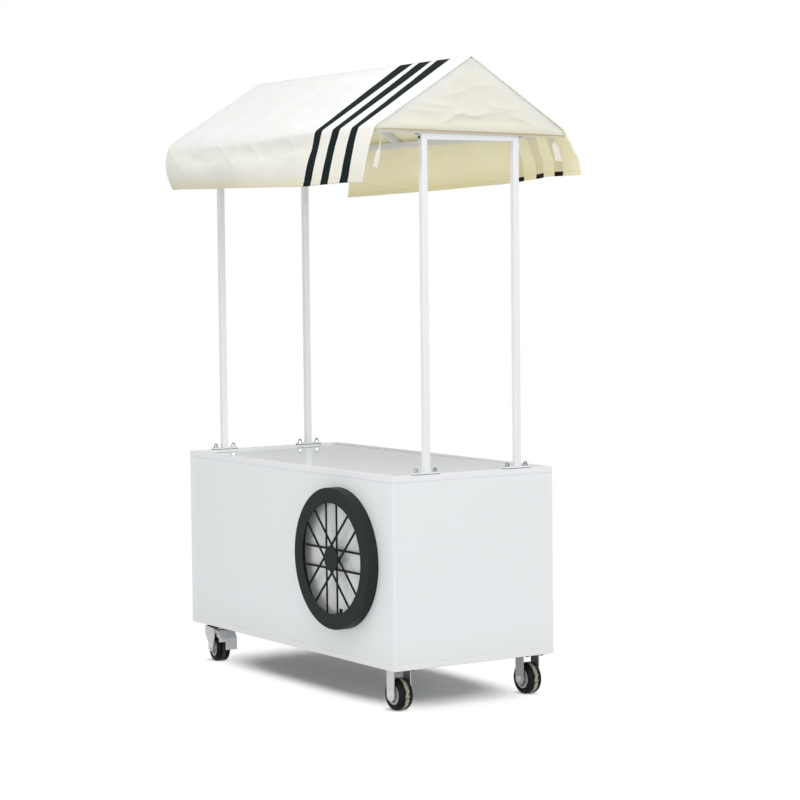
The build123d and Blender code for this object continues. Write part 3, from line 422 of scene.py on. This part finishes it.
# The rear valance hangs in upright folds near its right end, and a level crease breaks it halfway down.
rear_right = (from_ridge > 0) * hanging * mixed_between(0.26, 0.46, cover_x)
upright = np.sin(2 * np.pi * cover_x / 0.105 + 0.6)
rear_folds = 0.003 * rear_right * mixed_between(0.16, 0.02, to_hem) * upright
rear_step = 0.005 * rear_right * np.tanh((below_eave - 0.085) / 0.012)
hem_step = 0.0010 * mixed_between(hem_band + 0.001, hem_band - 0.001, to_hem)
lift = (stands_off + sag + ripples + tuck + folds + puckers + slanting + creases + rear_folds + rear_step
        + hem_step)

cover_points = np.stack([cover_x, cover_y, cover_z], axis=-1)
outward = np.cross(np.gradient(cover_points, axis=0), np.gradient(cover_points, axis=1))
outward /= np.linalg.norm(outward, axis=-1, keepdims=True)
cover_points = cover_points + outward * lift[..., None]
print("lift in mm, least and most:", np.round([1000 * lift.min(), 1000 * lift.max()], 1))

# %% [markdown]
# ## Cover with its stripes
# The points become a mesh of one layer, and a Solidify modifier gives the canvas its thickness. Three dark
# stripes are printed on it near the right end. They bend at the eave and get wider towards the ridge, so no
# plain coordinate follows them: each point carries a number that counts the stripe edges to its left.

# %% Stripes
ridge_edges = (0.256, 0.332, 0.365, 0.438, 0.467, 0.543)
front_edges = {"eave": (0.312, 0.353, 0.417, 0.458, 0.529, 0.567),
               "hem": (0.299, 0.347, 0.406, 0.445, 0.511, 0.560)}
rear_edges = {"eave": (0.340, 0.390, 0.450, 0.498, 0.552, 0.600),
              "hem": (0.318, 0.362, 0.425, 0.476, 0.528, 0.576)}
valance_length = 0.165


def stripe_number(eave, hem):
    """Counts stripe edges from left to right: 0 to 1, 2 to 3 and 4 to 5 are dark.

    The edges at a point are a straight mix between those of the ridge, the eave and the hem, and the count is
    a straight mix between the two edges beside it.
    """
    drop = np.clip(below_eave / valance_length, 0, 1)
    edges = [r + (e - r) * down_slope + (h - e) * drop for r, e, h in zip(ridge_edges, eave, hem)]
    number = (cover_x - edges[0]) / (edges[1] - edges[0])
    for i in range(1, 5):
        number = np.where(cover_x > edges[i], i + (cover_x - edges[i]) / (edges[i + 1] - edges[i]), number)
    return number


stripes = np.where(front, stripe_number(**front_edges), stripe_number(**rear_edges))
print("stripes:", len(ridge_edges) // 2)

# %% Cover mesh
cloth = 0.002


def grid_piece(name, points, layers=None):
    """Object from a grid of points: each four neighbours make a face. layers are values for the points."""
    count_a, count_b = points.shape[:2]
    index = np.arange(count_a * count_b).reshape(count_a, count_b)
    faces = np.stack([index[:-1, :-1], index[1:, :-1], index[1:, 1:], index[:-1, 1:]], axis=-1).reshape(-1, 4)
    mesh = bpy.data.meshes.new(name)
    mesh.from_pydata(points.reshape(-1, 3).tolist(), [], faces.tolist())
    mesh.polygons.foreach_set("use_smooth", np.ones(len(mesh.polygons), dtype=bool))
    for layer, values in (layers or {}).items():
        attribute = mesh.attributes.new(layer, "FLOAT", "POINT")
        attribute.data.foreach_set("value", values.astype(np.float32).ravel())
    piece = bpy.data.objects.new(name, mesh)
    bpy.context.collection.objects.link(piece)
    return piece


def thicken(piece, thickness, offset, inner_finish):
    """Gives a sheet its thickness, inwards if offset is -1. inner_finish is the slot of its inner side."""
    shell = piece.modifiers.new("cloth thickness", "SOLIDIFY")
    shell.thickness = thickness
    shell.offset = offset
    shell.material_offset = inner_finish


near_hem = mixed_between(0.065, 0.0, to_hem)
cover = grid_piece("canopy_cover_cloth", cover_points, {
    "stripe_number": stripes,
    "across_cloth": cover_x,
    "along_cloth": from_ridge,
    "above_hem": to_hem,
    "from_binding": 0 * cover_x + 1,
    "yellowed": 0.2 * hanging + near_hem * (0.2 + 0.35 * mixed_between(0.55, 0.2, cover_x)),
})
thicken(cover, cloth, -1, 1)
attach(cover, "cart")
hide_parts("canopy_cover")

# %% [markdown]
# ## Gables
# A triangle of the same canvas closes each end. It is sewn to the cover along its two sloping edges and ends
# in a bound hem on the end bar. Each row of the grid is as wide as the roof is there, and the cloth bows out
# a little with a few long creases, which are ridges along straight lines, steeper on their lower side. The
# hem stands off the bar, its lower edge is turned in and tinted tan, partly as painted shade of the hem's
# shadow on the bar, and it hangs a little lower at the rear. Along the sloping edges the cloth is painted
# paler: painted light, where the white rafter behind it lights it through.

# %% Gable surface
gable_face, gable_bottom = 0.6555, 1.7625
hem_tilt = -0.018
slope_fall = (ridge_height - eave_height) / eave_reach
under_cloth = ridge_height - cloth * np.sqrt(1 + slope_fall ** 2)
gable_rise = under_cloth - gable_bottom
gable_across = np.linspace(-1, 1, 97)
crease_lines = (  # reach and height of both ends, and how far the ridge stands out
    (-0.095, 1.800, -0.045, 1.823, 0.0035), (-0.052, 1.823, 0.010, 1.817, 0.0035),
    (0.000, 1.818, 0.100, 1.831, 0.0032), (-0.200, 1.853, -0.095, 1.846, 0.0030),
    (-0.225, 1.832, -0.150, 1.826, 0.0026), (-0.085, 1.878, -0.030, 1.890, 0.0022),
    (0.160, 1.817, 0.255, 1.791, 0.0032), (0.080, 1.846, 0.150, 1.842, 0.0023),
    (-0.010, 1.905, 0.055, 1.912, 0.0019))


def gable_surface(side):
    """Grid of a gable: rows rise from the hem to the ridge, and a row reaches as far as the roof does."""
    up = np.concatenate([np.linspace(0, 0.08, 13)[:-1], np.linspace(0.08, 0.985, 84)])[:, None]
    sideways = side * gable_across[None, :]
    height = gable_bottom + gable_rise * up + 0 * sideways
    half_width = np.minimum((under_cloth - height) / slope_fall, eave_reach - cloth)
    reach = half_width * sideways
    inside = (1 - np.abs(sideways) ** 3) * mixed_between(0.0, 0.12, up) * mixed_between(1.0, 0.7, up)
    ridges = sum(ridge_on_line(side * reach, height, line, 0.017, 0.006) for line in crease_lines)
    waves = soft_noise(0.6 * reach, height + 0.15 * reach, (0.07, 0.12), 21 + side)
    bow = 0.0004 + inside * (0.0016 + 0.0024 * waves + ridges)
    above_bar = mixed_between(0.2, 0.05, up) * mixed_between(0.0, 0.05, up)
    stand_off = 0.005 * (1 - np.abs(sideways) ** 6) * above_bar
    place = side * (gable_face + np.maximum(bow, 0.0002) + stand_off)
    return np.stack([place + 0 * reach, reach, height + hem_tilt * reach * (1 - up) ** 3], axis=-1)


print("gable:", len(crease_lines), "creases, rises", round(float(gable_rise), 3), "m")

for side, name in ((-1, "left_gable"), (1, "right_gable")):
    points = gable_surface(side)
    above = points[..., 2] - points[:1, :, 2]
    from_slope = (1 - np.abs(gable_across)) * np.abs(points[:, :1, 1])
    # Near the sloping edges less yellow is painted in: painted light from the white rafter behind the cloth.
    past_painted_pale_edge = mixed_between(0.02, 0.07, from_slope)
    gable = grid_piece(name + "_cloth", points[:, ::-1], {
        "stripe_number": 0 * above - 9,
        "across_cloth": points[:, ::-1, 1],
        "along_cloth": points[..., 2],
        "above_hem": 0.008 + from_slope * 0.85,
        "from_binding": above,
        "yellowed": 0.2 + 0.18 * past_painted_pale_edge + 0.2 * mixed_between(0.06, 0.0, above),
    })
    thicken(gable, cloth, -1, 1)
    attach(gable, "cart")
    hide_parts(name)
    print(name, "cloth:", len(gable.data.polygons), "faces")

# %% [markdown]
# ## Tie tapes
# Short tapes hang loose from the corners of the end bars. A tape is a narrow ribbon: one parameter runs down
# its middle line and the other across its width. Each one is twisted near its knot, so it starts edge-on and
# then shows its flat side.

# %% Tape ribbons
knot_x, knot_y, knot_z = 0.643, 0.316, 1.764
tape_thickness = 0.001


def tape_ribbon(side_x, side_y, length, width, twist_end):
    """Ribbon from an end bar: it leans outwards as it falls, and its width turns from edge-on to flat.

    twist_end is the share of the length where it lies flat. The knot is a quarter as wide as the tape.
    """
    fall = np.linspace(0, 1, 33)[:, None]
    over = np.linspace(-0.5, 0.5, 7)[None, :]
    turn = np.radians(75) * mixed_between(twist_end, twist_end - 0.3, fall)
    spread = width * (0.25 + 0.75 * mixed_between(0.5 * twist_end, twist_end, fall))
    y = side_y * (knot_y + 0.28 * length * fall) + spread * over * np.cos(turn)
    x = side_x * (knot_x + 0.004 * np.sin(2.6 * fall) * fall + spread * over * np.sin(turn))
    z = knot_z - length * fall - 0.2 * width * over * fall
    return np.stack([x, y, z], axis=-1)


tapes = []
for side_x, side_y, length, width, twist_end in (
        (-1, -1, 0.105, 0.020, 0.5), (-1, 1, 0.090, 0.022, 0.4),
        (1, -1, 0.108, 0.017, 0.68), (1, 1, 0.080, 0.028, 0.4)):
    corner = ("left_" if side_x < 0 else "right_") + ("front" if side_y < 0 else "rear")
    tape = grid_piece("tie_tape_" + corner, tape_ribbon(side_x, side_y, length, width, twist_end))
    thicken(tape, tape_thickness, 0, 0)
    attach(tape, "cart")
    tapes.append(tape)
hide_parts("tie_tapes")
print("tapes:", len(tapes))

# %% [markdown]
# ## Canvas
# The cover is cream cotton canvas with a plain weave, printed with three dark stripes. The threads are about
# 0.6 mm apart, which is far too fine for this picture, so the weave is drawn 3 mm wide. The outer side is
# bleached by the sun and tinted yellow near the hem. The inner side is painted warmer and paler, partly as
# painted glow of the light that comes through the cloth. There the print only shines through, except on the
# hem, where the outer side is folded in and shows its full colour.

# %% Cloth colour and binding
cloud_width = 0.14
binding_ramp = 0.012


def weathered_and_painted_light_cloth(tree, values, pale, deep):
    """Cloudy colour between two creams, tinted yellow by as much as the piece's own values say. On a gable,
    less tint along the sloping edges is painted light.
    """
    spot = add(tree, "CombineXYZ", links={0: values["across_cloth"], 1: values["along_cloth"]})
    clouds = add(tree, "TexNoise", {"Scale": 1 / cloud_width, "Detail": 4.0, "Roughness": 0.55},
                 {0: spot.outputs[0]})
    cloudy = add(tree, "MapRange", {"From Min": 0.32, "From Max": 0.68}, {0: clouds.outputs["Fac"]})
    shade = add(tree, "Mix", {"data_type": "RGBA", 6: linear(deep), 7: linear(pale)}, {0: cloudy.outputs[0]})
    tinted = add(tree, "Mix", {"data_type": "RGBA", 7: linear("#DFD8B6")},
               {0: values["yellowed"], 6: shade.outputs[2]})
    return tinted.outputs[2]


def bound_edge(tree, values, plain):
    """A brown binding 3 mm wide over a plain colour, with a turned-in tan edge below it that is partly painted
    shade.

    The ramp covers the first 12 mm, and its alpha is the share that the binding hides.
    """
    near_edge = add(tree, "MapRange", {"From Max": binding_ramp}, {0: values["from_binding"]})
    bound = add(tree, "ValToRGB", links={0: near_edge.outputs[0]})
    bound.color_ramp.elements[0].color = (*linear("#E0D6C2")[:3], 0.85)
    bound.color_ramp.elements[1].color = (*linear("#C2B08E")[:3], 0.0)
    # The tan below the binding is partly painted shade: it stands for the hem's shadow on the bar behind it.
    for height, colour, hidden in ((0.35, "#DCD1BA", 0.85), (0.39, "#C2B08E", 0.95), (0.62, "#C2B08E", 0.95),
                                   (0.70, "#C2B08E", 0.0)):
        bound.color_ramp.elements.new(height).color = (*linear(colour)[:3], hidden)
    edged = add(tree, "Mix", {"data_type": "RGBA"},
                {0: bound.outputs["Alpha"], 6: plain, 7: bound.outputs["Color"]})
    return edged.outputs[2]


print("cloth colour: clouds of", cloud_width, "m")

# %% Print and seam
seam_dark = 0.9


def printed_stripes(tree, values, plain, stripe_colour, stripe_inside):
    """Stripes over a plain colour: the ramp is white between the edges 0 and 1, 2 and 3 and 4 and 5.

    stripe_inside is the share of the print above the hem band. On the band it is full.
    """
    along_ramp = add(tree, "MapRange", {"From Min": -1.0, "From Max": 6.0}, {0: values["stripe_number"]})
    dark = add(tree, "ValToRGB", links={0: along_ramp.outputs[0]})
    dark.color_ramp.interpolation = "CONSTANT"
    dark.color_ramp.elements[0].color = (0, 0, 0, 1)
    dark.color_ramp.elements[1].position = 1 / 7
    for edge in range(1, 6):
        dark.color_ramp.elements.new((edge + 1) / 7).color = (0, 0, 0, 1) if edge % 2 else (1, 1, 1, 1)
    printed_share = add(tree, "MapRange", {"From Min": hem_band, "From Max": hem_band + 0.0005, "To Min": 1.0,
                                           "To Max": stripe_inside}, {0: values["above_hem"]})
    share_of_print = add(tree, "Math", {"operation": "MULTIPLY"},
                         {0: dark.outputs["Color"], 1: printed_share.outputs[0]})
    printed = add(tree, "Mix", {"data_type": "RGBA", 7: linear(stripe_colour)},
                  {0: share_of_print.outputs[0], 6: plain})
    return printed.outputs[2]


def sewn_seam(tree, values, plain):
    """A row of stitches along the top of the hem band: a thin line that is a little darker."""
    from_seam = add(tree, "Math", {"operation": "SUBTRACT", 1: hem_band}, {0: values["above_hem"]})
    beside_seam = add(tree, "Math", {"operation": "ABSOLUTE"}, {0: from_seam.outputs[0]})
    seam = add(tree, "MapRange", {"From Min": 0.0005, "From Max": 0.0020, "To Min": seam_dark, "To Max": 1.0},
               {0: beside_seam.outputs[0]})
    sewn = add(tree, "Mix", {"data_type": "RGBA", "blend_type": "MULTIPLY", 0: 1.0},
               {6: plain, 7: seam.outputs[0]})
    return sewn.outputs[2]


print("print and seam: hem band of", hem_band, "m")

# %% Canvas finishes
thread_drawn = 0.003


def canvas(name, pale, deep, stripe_colour, stripe_inside, scattered, forward):
    """Woven canvas: crossed thread ridges as bump over its colour, binding, print and seam.

    scattered is the share of light that goes into the cloth, and forward tells how much of that keeps its way
    through to the other side.
    """
    material, tree, surface = finish_of(
        name, Roughness=0.9, Specular_IOR_Level=0.2, Subsurface_Weight=scattered,
        Subsurface_Radius=(0.0060, 0.0056, 0.0042), Subsurface_Scale=1.0, Subsurface_Anisotropy=forward)
    values = {layer: add(tree, "Attribute", {"attribute_name": layer}).outputs["Fac"] for layer in (
        "across_cloth", "along_cloth", "above_hem", "from_binding", "yellowed", "stripe_number")}
    plain = bound_edge(tree, values, weathered_and_painted_light_cloth(tree, values, pale, deep))
    printed = printed_stripes(tree, values, plain, stripe_colour, stripe_inside)
    ridges = []
    for layer in ("across_cloth", "along_cloth"):
        angle = add(tree, "Math", {"operation": "MULTIPLY", 1: 2 * np.pi / thread_drawn}, {0: values[layer]})
        ridges.append(add(tree, "Math", {"operation": "SINE"}, {0: angle.outputs[0]}).outputs[0])
    weave = add(tree, "Math", {"operation": "MULTIPLY"}, {0: ridges[0], 1: ridges[1]})
    bump = add(tree, "Bump", {"Strength": 0.2, "Distance": 0.0004}, {"Height": weave.outputs[0]})
    join(surface, Base_Color=sewn_seam(tree, values, printed), Normal=bump.outputs[0])
    return material


# Cotton canvas, woven: matt and a little translucent, so that light on one side glows through to the other.
outer_canvas = canvas("bleached_cotton_canvas", "#F1F1EE", "#EBEBE6", "#0F1A1B", 1.0, 0.5, 0.0)
# The inner side's warm, pale cream is partly painted glow of the light through the cloth.
inner_canvas_with_painted_glow = canvas("raw_cotton_canvas", "#F8F0D8", "#F3E9CB", "#161614", 0.17, 0.9, 0.7)
for name in ("canopy_cover_cloth", "left_gable_cloth", "right_gable_cloth"):
    mesh = bpy.data.objects[name].data
    mesh.materials.append(outer_canvas)
    mesh.materials.append(inner_canvas_with_painted_glow)
print("canvas finishes:", outer_canvas.name, inner_canvas_with_painted_glow.name)

# %% Tape finish
rib_drawn = 0.006

# Cotton tape: bleached white, with a twill whose 1 mm ribs are drawn 6 mm wide so that they show. A diagonal
# wave turns by 10 times the sum of its coordinates, and its ribs lie at 45 degrees on the flat tape.
cotton_tape, tree, surface = finish_of("bleached_cotton_tape", Roughness=0.85, Sheen_Weight=0.2)
spot = add(tree, "TexCoord").outputs["Object"]
ribs = add(tree, "TexWave", {"Scale": 2 * np.pi / (10 * np.sqrt(2) * rib_drawn), "Distortion": 0.5,
                             "bands_direction": "DIAGONAL"}, {0: spot})
tone = add(tree, "ValToRGB", links={0: ribs.outputs["Fac"]})
tone.color_ramp.elements[0].color = linear("#E9E4D5")
tone.color_ramp.elements[1].color = linear("#EFEBDF")
join(surface, Base_Color=tone.outputs["Color"])
for tape in tapes:
    tape.data.materials.append(cotton_tape)
print("tape finish:", cotton_tape.name)

# %% [markdown]
# ## White paint
# Frame and panels are steel with white powder coat: melted grains leave a fine orange peel about 1 mm across,
# drawn at 4 mm here so that it shows, and a satin gloss that is a little uneven. Dust gathers low down. The
# counter has the same white in a high gloss, so that it mirrors the posts.

# %% Paint finishes
peel_drawn, smear_width = 0.004, 0.22
dust_full, dust_gone = 0.12, 0.24


def white_paint(name, colour, dusty, gloss, uneven, grain):
    """Powder coat: fine bump, uneven gloss, and a dust tint that fades out above the cabinet's lower edge."""
    material, tree, surface = finish_of(name)
    spot = add(tree, "TexCoord").outputs["Object"]
    peel = add(tree, "TexNoise", {"Scale": 1 / peel_drawn, "Detail": 2.0}, {0: spot})
    bump = add(tree, "Bump", {"Strength": grain, "Distance": 0.0003}, {"Height": peel.outputs["Fac"]})
    smears = add(tree, "TexNoise", {"Scale": 1 / smear_width, "Detail": 5.0, "Roughness": 0.6}, {0: spot})
    rough = add(tree, "MapRange", {"From Min": 0.3, "From Max": 0.7, "To Min": gloss - uneven,
                                   "To Max": gloss + uneven}, {0: smears.outputs["Fac"]})
    ways = add(tree, "SeparateXYZ", links={0: spot})
    low = add(tree, "MapRange", {"From Min": dust_full, "From Max": dust_gone, "To Min": 0.5, "To Max": 0.0},
              {0: ways.outputs["Z"]})
    dust = add(tree, "Math", {"operation": "MULTIPLY"}, {0: low.outputs[0], 1: smears.outputs["Fac"]})
    tint = add(tree, "Mix", {"data_type": "RGBA", 6: linear(colour), 7: linear(dusty)}, {0: dust.outputs[0]})
    join(surface, Base_Color=tint.outputs[2], Roughness=rough.outputs[0], Normal=bump.outputs[0])
    return material


# Baked powder gives broad, soft highlights; the counter's enamel gives clear mirror images.
frame_paint = white_paint("white_powder_coat_on_tube", "#F1F2F4", "#DCDBD6", 0.37, 0.06, 0.06)
panel_paint = white_paint("white_powder_coat_on_sheet", "#F0F2F3", "#D9D9D5", 0.41, 0.06, 0.06)
counter_paint = white_paint("white_gloss_enamel", "#F6FBFB", "#F6FBFB", 0.05, 0.01, 0.01)
print("paints:", frame_paint.name, panel_paint.name, counter_paint.name)

# %% [markdown]
# ## Metals
# Forks, plates and fixings are steel with a zinc coat: greyish, with faint crystals about 6 mm across that
# differ in gloss. Inside the forks a darker colour is painted shade: it starts where a point is nearer to the
# wheel's middle plane than the inner faces of the fork are. The caster plates, nuts, studs and kingpins under
# the cabinet are painted nearly black, as painted shade of the gap there, and the rear right fork is painted
# greyer than the front one, as painted shade under the cabinet. The dome nuts and the door handles are bright
# chrome plate with slight smudges. The lugs and screws are dark coated steel.

# %% Plated metals
tarnish_width = 0.03
zinc_look = ("#F2F3F4", "#DDDFE1", 0.42, 0.006, 0.45)


def plated(name, colour, worn, gloss, crystal, metallic):
    """Plated steel: a crystal pattern that changes the gloss, and a cloudy tone between two greys."""
    material, tree, surface = finish_of(name, Metallic=metallic)
    spot = add(tree, "TexCoord").outputs["Object"]
    crystals = add(tree, "TexVoronoi", {"Scale": 1 / crystal}, {0: spot})
    clouds = add(tree, "TexNoise", {"Scale": 1 / tarnish_width, "Detail": 3.0}, {0: spot})
    rough = add(tree, "MapRange", {"To Min": gloss - 0.06, "To Max": gloss + 0.08},
                {0: crystals.outputs["Color"]})
    tone = add(tree, "Mix", {"data_type": "RGBA", 6: linear(colour), 7: linear(worn)},
               {0: clouds.outputs["Fac"]})
    join(surface, Base_Color=tone.outputs[2], Roughness=rough.outputs[0])
    return material


# Zinc gives a pale, dull sheen, zinc on the caster plates and fixings is painted nearly black as painted
# shade, and chrome mirrors what is around it.
zinc = plated("zinc_plated_steel", *zinc_look)
shade_painted_zinc = plated("dirty_zinc_plated_steel", "#484844", "#2E2E2B", 0.5, 0.006, 0.4)
chrome = plated("chrome_plated_steel", "#C6C9CC", "#A2A6AA", 0.13, 0.012, 1.0)
print("plated metals:", zinc.name, shade_painted_zinc.name, chrome.name)

# %% Painted shade in the forks
fork_inside, fork_shade_edge = 0.0295, 0.001


def seen_from_wheel(tree, middle, turn):
    """Place of a point from its wheel's middle, turned with the caster, and its way along the axle."""
    spot = add(tree, "TexCoord").outputs["Object"]
    moved = add(tree, "Mapping", {"vector_type": "TEXTURE", "Location": middle, "Rotation": (0, 0, turn)},
                {0: spot})
    return moved.outputs[0], add(tree, "SeparateXYZ", links={0: moved.outputs[0]}).outputs["Y"]


def painted_fork_shade(material, middle, turn, spread, rear_shade):
    """Adds painted shade to a fork's finish: a darker colour at points between the fork's inner faces.

    middle and turn place the fork. Where one node holds two forks, spread is the distance of their middle
    planes from the node's own middle, and the last argument is how far the rear one is painted grey, as
    painted shade under the cabinet.
    """
    tree = material.node_tree
    surface = tree.nodes["Principled BSDF"]
    rearwards = seen_from_wheel(tree, middle, turn)[1]
    aside = add(tree, "Math", {"operation": "ABSOLUTE"}, {0: rearwards})
    aside = add(tree, "Math", {"operation": "SUBTRACT", 1: spread}, {0: aside.outputs[0]})
    aside = add(tree, "Math", {"operation": "ABSOLUTE"}, {0: aside.outputs[0]})
    # Painted shade: points between the fork's inner faces get a darker, less metallic colour.
    fork_shade = add(tree, "MapRange", {"From Min": fork_inside - fork_shade_edge, "From Max": fork_inside,
                                    "To Min": 1.0, "To Max": 0.0}, {0: aside.outputs[0]})
    plain = surface.inputs["Base Color"].links[0].from_socket
    # The rear fork's face is painted greyer, as painted shade under the cabinet.
    rear = add(tree, "MapRange", {"From Min": -0.01, "From Max": 0.01, "To Max": rear_shade}, {0: rearwards})
    rear_shaded = add(tree, "Mix", {"data_type": "RGBA", 7: linear("#9C9E98")}, {0: rear.outputs[0], 6: plain})
    tone = add(tree, "Mix", {"data_type": "RGBA", 7: linear("#6A6A64")},
               {0: fork_shade.outputs[0], 6: rear_shaded.outputs[2]})
    shaded_metallic = add(tree, "MapRange", {"To Min": surface.inputs["Metallic"].default_value, "To Max": 0.1},
               {0: fork_shade.outputs[0]})
    join(surface, Base_Color=tone.outputs[2], Metallic=shaded_metallic.outputs[0])
    return material


print("grease: up to", fork_inside, "m from a wheel's middle plane")

# %% Dark coat
def mottled(name, tones, gloss, cloud, grain=None, **settings):
    """A cloudy tone between two colours that also changes the gloss, with a fine grain as bump if given.

    gloss is the least and the most roughness, cloud a width and its detail, and grain a width, its detail,
    its strength and its depth.
    """
    material, tree, surface = finish_of(name, **settings)
    spot = add(tree, "TexCoord").outputs["Object"]
    clouds = add(tree, "TexNoise", {"Scale": 1 / cloud[0], "Detail": cloud[1]}, {0: spot})
    tone = add(tree, "Mix", {"data_type": "RGBA", 6: linear(tones[0]), 7: linear(tones[1])},
               {0: clouds.outputs["Fac"]})
    rough = add(tree, "MapRange", {"To Min": gloss[0], "To Max": gloss[1]}, {0: clouds.outputs["Fac"]})
    join(surface, Base_Color=tone.outputs[2], Roughness=rough.outputs[0])
    if grain:
        width, detail, strength, depth = grain
        grains = add(tree, "TexNoise", {"Scale": 1 / width, "Detail": detail}, {0: spot})
        bump = add(tree, "Bump", {"Strength": strength, "Distance": depth}, {"Height": grains.outputs["Fac"]})
        join(surface, Normal=bump.outputs[0])
    return material


# Phosphated steel: a dark, dry coat, mottled 3 mm wide in tone and gloss.
dark_coat = mottled("black_phosphated_steel", ("#26282A", "#3C3F41"), (0.42, 0.62), (0.003, 3.0),
                    Metallic=0.4)
print("dark coat:", dark_coat.name)

# %% [markdown]
# ## Charcoal wheel, rubber and plastics
# The decorative wheel is painted a matt charcoal with a fine grit, and its spokes are black. Hubs, pads and
# catches are moulded, with faint smudges. The caster treads are black rubber, polished and dusty along the
# strip that rolls on the ground. The strip follows the wheel, so each tread gets its own copy with a Mapping
# node that moves the pattern to the wheel's middle and turns it with the caster.

# %% Wheel paint and moulded pieces
paint_cloud, paint_grit = (0.09, 4.0), (0.0025, 3.0, 0.12, 0.0003)
mould_smudge, mould_grain = (0.02, 4.0), (0.0015, 2.0, 0.1, 0.0002)

# Sprayed matt paint is dark all over, with hardly a highlight.
charcoal = mottled("matt_charcoal_paint", ("#242929", "#2B3030"), (0.42, 0.6), paint_cloud, paint_grit,
                   Specular_IOR_Level=0.14)
spoke_black = mottled("matt_black_paint", ("#0E1111", "#151818"), (0.42, 0.6), paint_cloud, paint_grit,
                      Specular_IOR_Level=0.14)
# Moulded polypropylene looks waxy, neoprene dull, and ABS lies between them.
hub_plastic = mottled("grey_polypropylene", ("#CFCDC6", "#B7B3A9"), (0.37, 0.55), mould_smudge, mould_grain)
# The pads under the post flanges are black, partly as painted shade of the gap under each flange.
pad_rubber = mottled("black_neoprene", ("#1D1E1F", "#2B2B2B"), (0.62, 0.8), mould_smudge, mould_grain)
catch_plastic = mottled("dark_abs", ("#2C2D2E", "#383A3B"), (0.42, 0.6), mould_smudge, mould_grain)
print("finishes:", charcoal.name, spoke_black.name, hub_plastic.name, pad_rubber.name, catch_plastic.name)

# %% Tread rubber
patch_width, strip_half = 0.012, 0.014


def tread_rubber(name, middle, turn, dusty):
    """Black rubber with a pale dusty strip, ragged at its edges, near the wheel's middle plane.

    dusty is the share of dust: the wheels that carried the cart outdoors have more than the others.
    """
    material, tree, surface = finish_of(name, Specular_IOR_Level=0.15)
    spot, sideways = seen_from_wheel(tree, middle, turn)
    aside = add(tree, "Math", {"operation": "ABSOLUTE"}, {0: sideways})
    patches = add(tree, "TexNoise", {"Scale": 1 / patch_width, "Detail": 5.0, "Roughness": 0.7}, {0: spot})
    ragged = add(tree, "Math", {"operation": "MULTIPLY_ADD", 1: -strip_half},
                 {0: patches.outputs["Fac"], 2: aside.outputs[0]})
    strip = add(tree, "MapRange", {"From Min": -0.003, "From Max": 0.001, "To Min": 1.0, "To Max": 0.02},
                {0: ragged.outputs[0]})
    patchy = add(tree, "MapRange", {"From Min": 0.36, "From Max": 0.62, "To Min": 0.3 * dusty,
                                    "To Max": 0.95 * dusty}, {0: patches.outputs["Fac"]})
    dust = add(tree, "Math", {"operation": "MULTIPLY"}, {0: strip.outputs[0], 1: patchy.outputs[0]})
    tone = add(tree, "Mix", {"data_type": "RGBA", 6: linear("#080807"), 7: linear("#BAB4A4")},
               {0: dust.outputs[0]})
    rough = add(tree, "MapRange", {"To Min": 0.42, "To Max": 0.85}, {0: dust.outputs[0]})
    bump = add(tree, "Bump", {"Strength": 0.2, "Distance": 0.0005}, {"Height": patches.outputs["Fac"]})
    join(surface, Base_Color=tone.outputs[2], Roughness=rough.outputs[0], Normal=bump.outputs[0])
    return material


print("tread rubber: patches of", patch_width, "m")

# %% [markdown]
# ## Finishes on the frame's pieces
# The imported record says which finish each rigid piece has, so the pieces are painted by that list. Forks and
# treads get a finish of their own, because grease and dust follow their wheel: its axle is a joint in the
# record, which gives the wheel's place and how far its caster is turned.

# %% Finish of each piece
finish_by_slot = {
    "white_frame": frame_paint, "white_panel": panel_paint, "counter_gloss": counter_paint,
    "bright_fixings": chrome, "zinc_steel": zinc, "dark_coat": dark_coat, "pad_rubber": pad_rubber,
    "charcoal_wheel": charcoal, "hub_plastic": hub_plastic, "catch_plastic": catch_plastic,
    "cream_cloth": inner_canvas_with_painted_glow, "white_tape": cotton_tape,
}
# Plates, nuts, studs and kingpins take the zinc painted nearly black, as painted shade under the cabinet.
finish_by_piece = dict.fromkeys(("swivel_plates", "caster_nuts", "caster_studs", "kingpins"), shade_painted_zinc)
finish_by_piece["decor_spokes"] = spoke_black
joints = {joint["name"]: joint for joint in frame["record"]["behaviour"]["joints"]}
axle_of_fork = {"right_forks": "right_front_axle", "left_front_fork": "left_front_axle",
                "left_rear_fork": "left_rear_axle"}
# The rear right fork is painted greyer, as painted shade under the cabinet.
rear_fork_painted_shade = 0.6
right_dust, left_dust = 1.0, 0.15


def axle_frame(name):
    """Place of an axle, and how far the caster is turned: the axle lies along +Y when it isn't turned."""
    axis = joints[name]["axis"]
    return tuple(joints[name]["pos_m"]), float(np.arctan2(-axis[0], axis[1]))


def finish_for(name, slot):
    """Finish of a rigid piece: its own for a fork or a tread, or else that of its name or its slot."""
    if name in axle_of_fork:
        middle, turn = axle_frame(axle_of_fork[name])
        spread = rear_shade = 0.0
        if name == "right_forks":
            middle, spread, rear_shade = (middle[0], 0, middle[2]), abs(middle[1]), rear_fork_painted_shade
        return painted_fork_shade(plated("greasy_zinc_" + name, *zinc_look), middle, turn, spread, rear_shade)
    if slot == "tread_rubber":
        middle, turn = axle_frame(name.replace("tread", "axle"))
        dusty = right_dust if name.startswith("right") else left_dust
        return tread_rubber("dusty_rubber_" + name.replace("_tread", ""), middle, turn, dusty)
    return finish_by_piece.get(name) or finish_by_slot[slot]


print("finishes:", len(finish_by_slot), "slots,", len(finish_by_piece), "pieces with another one")

# %% Paint the rigid pieces
for subpart in frame["record"]["subparts"]:
    mesh = nodes[subpart["node"]].data
    mesh.materials.clear()
    mesh.materials.append(finish_for(subpart["node"], subpart["material_slot"]))
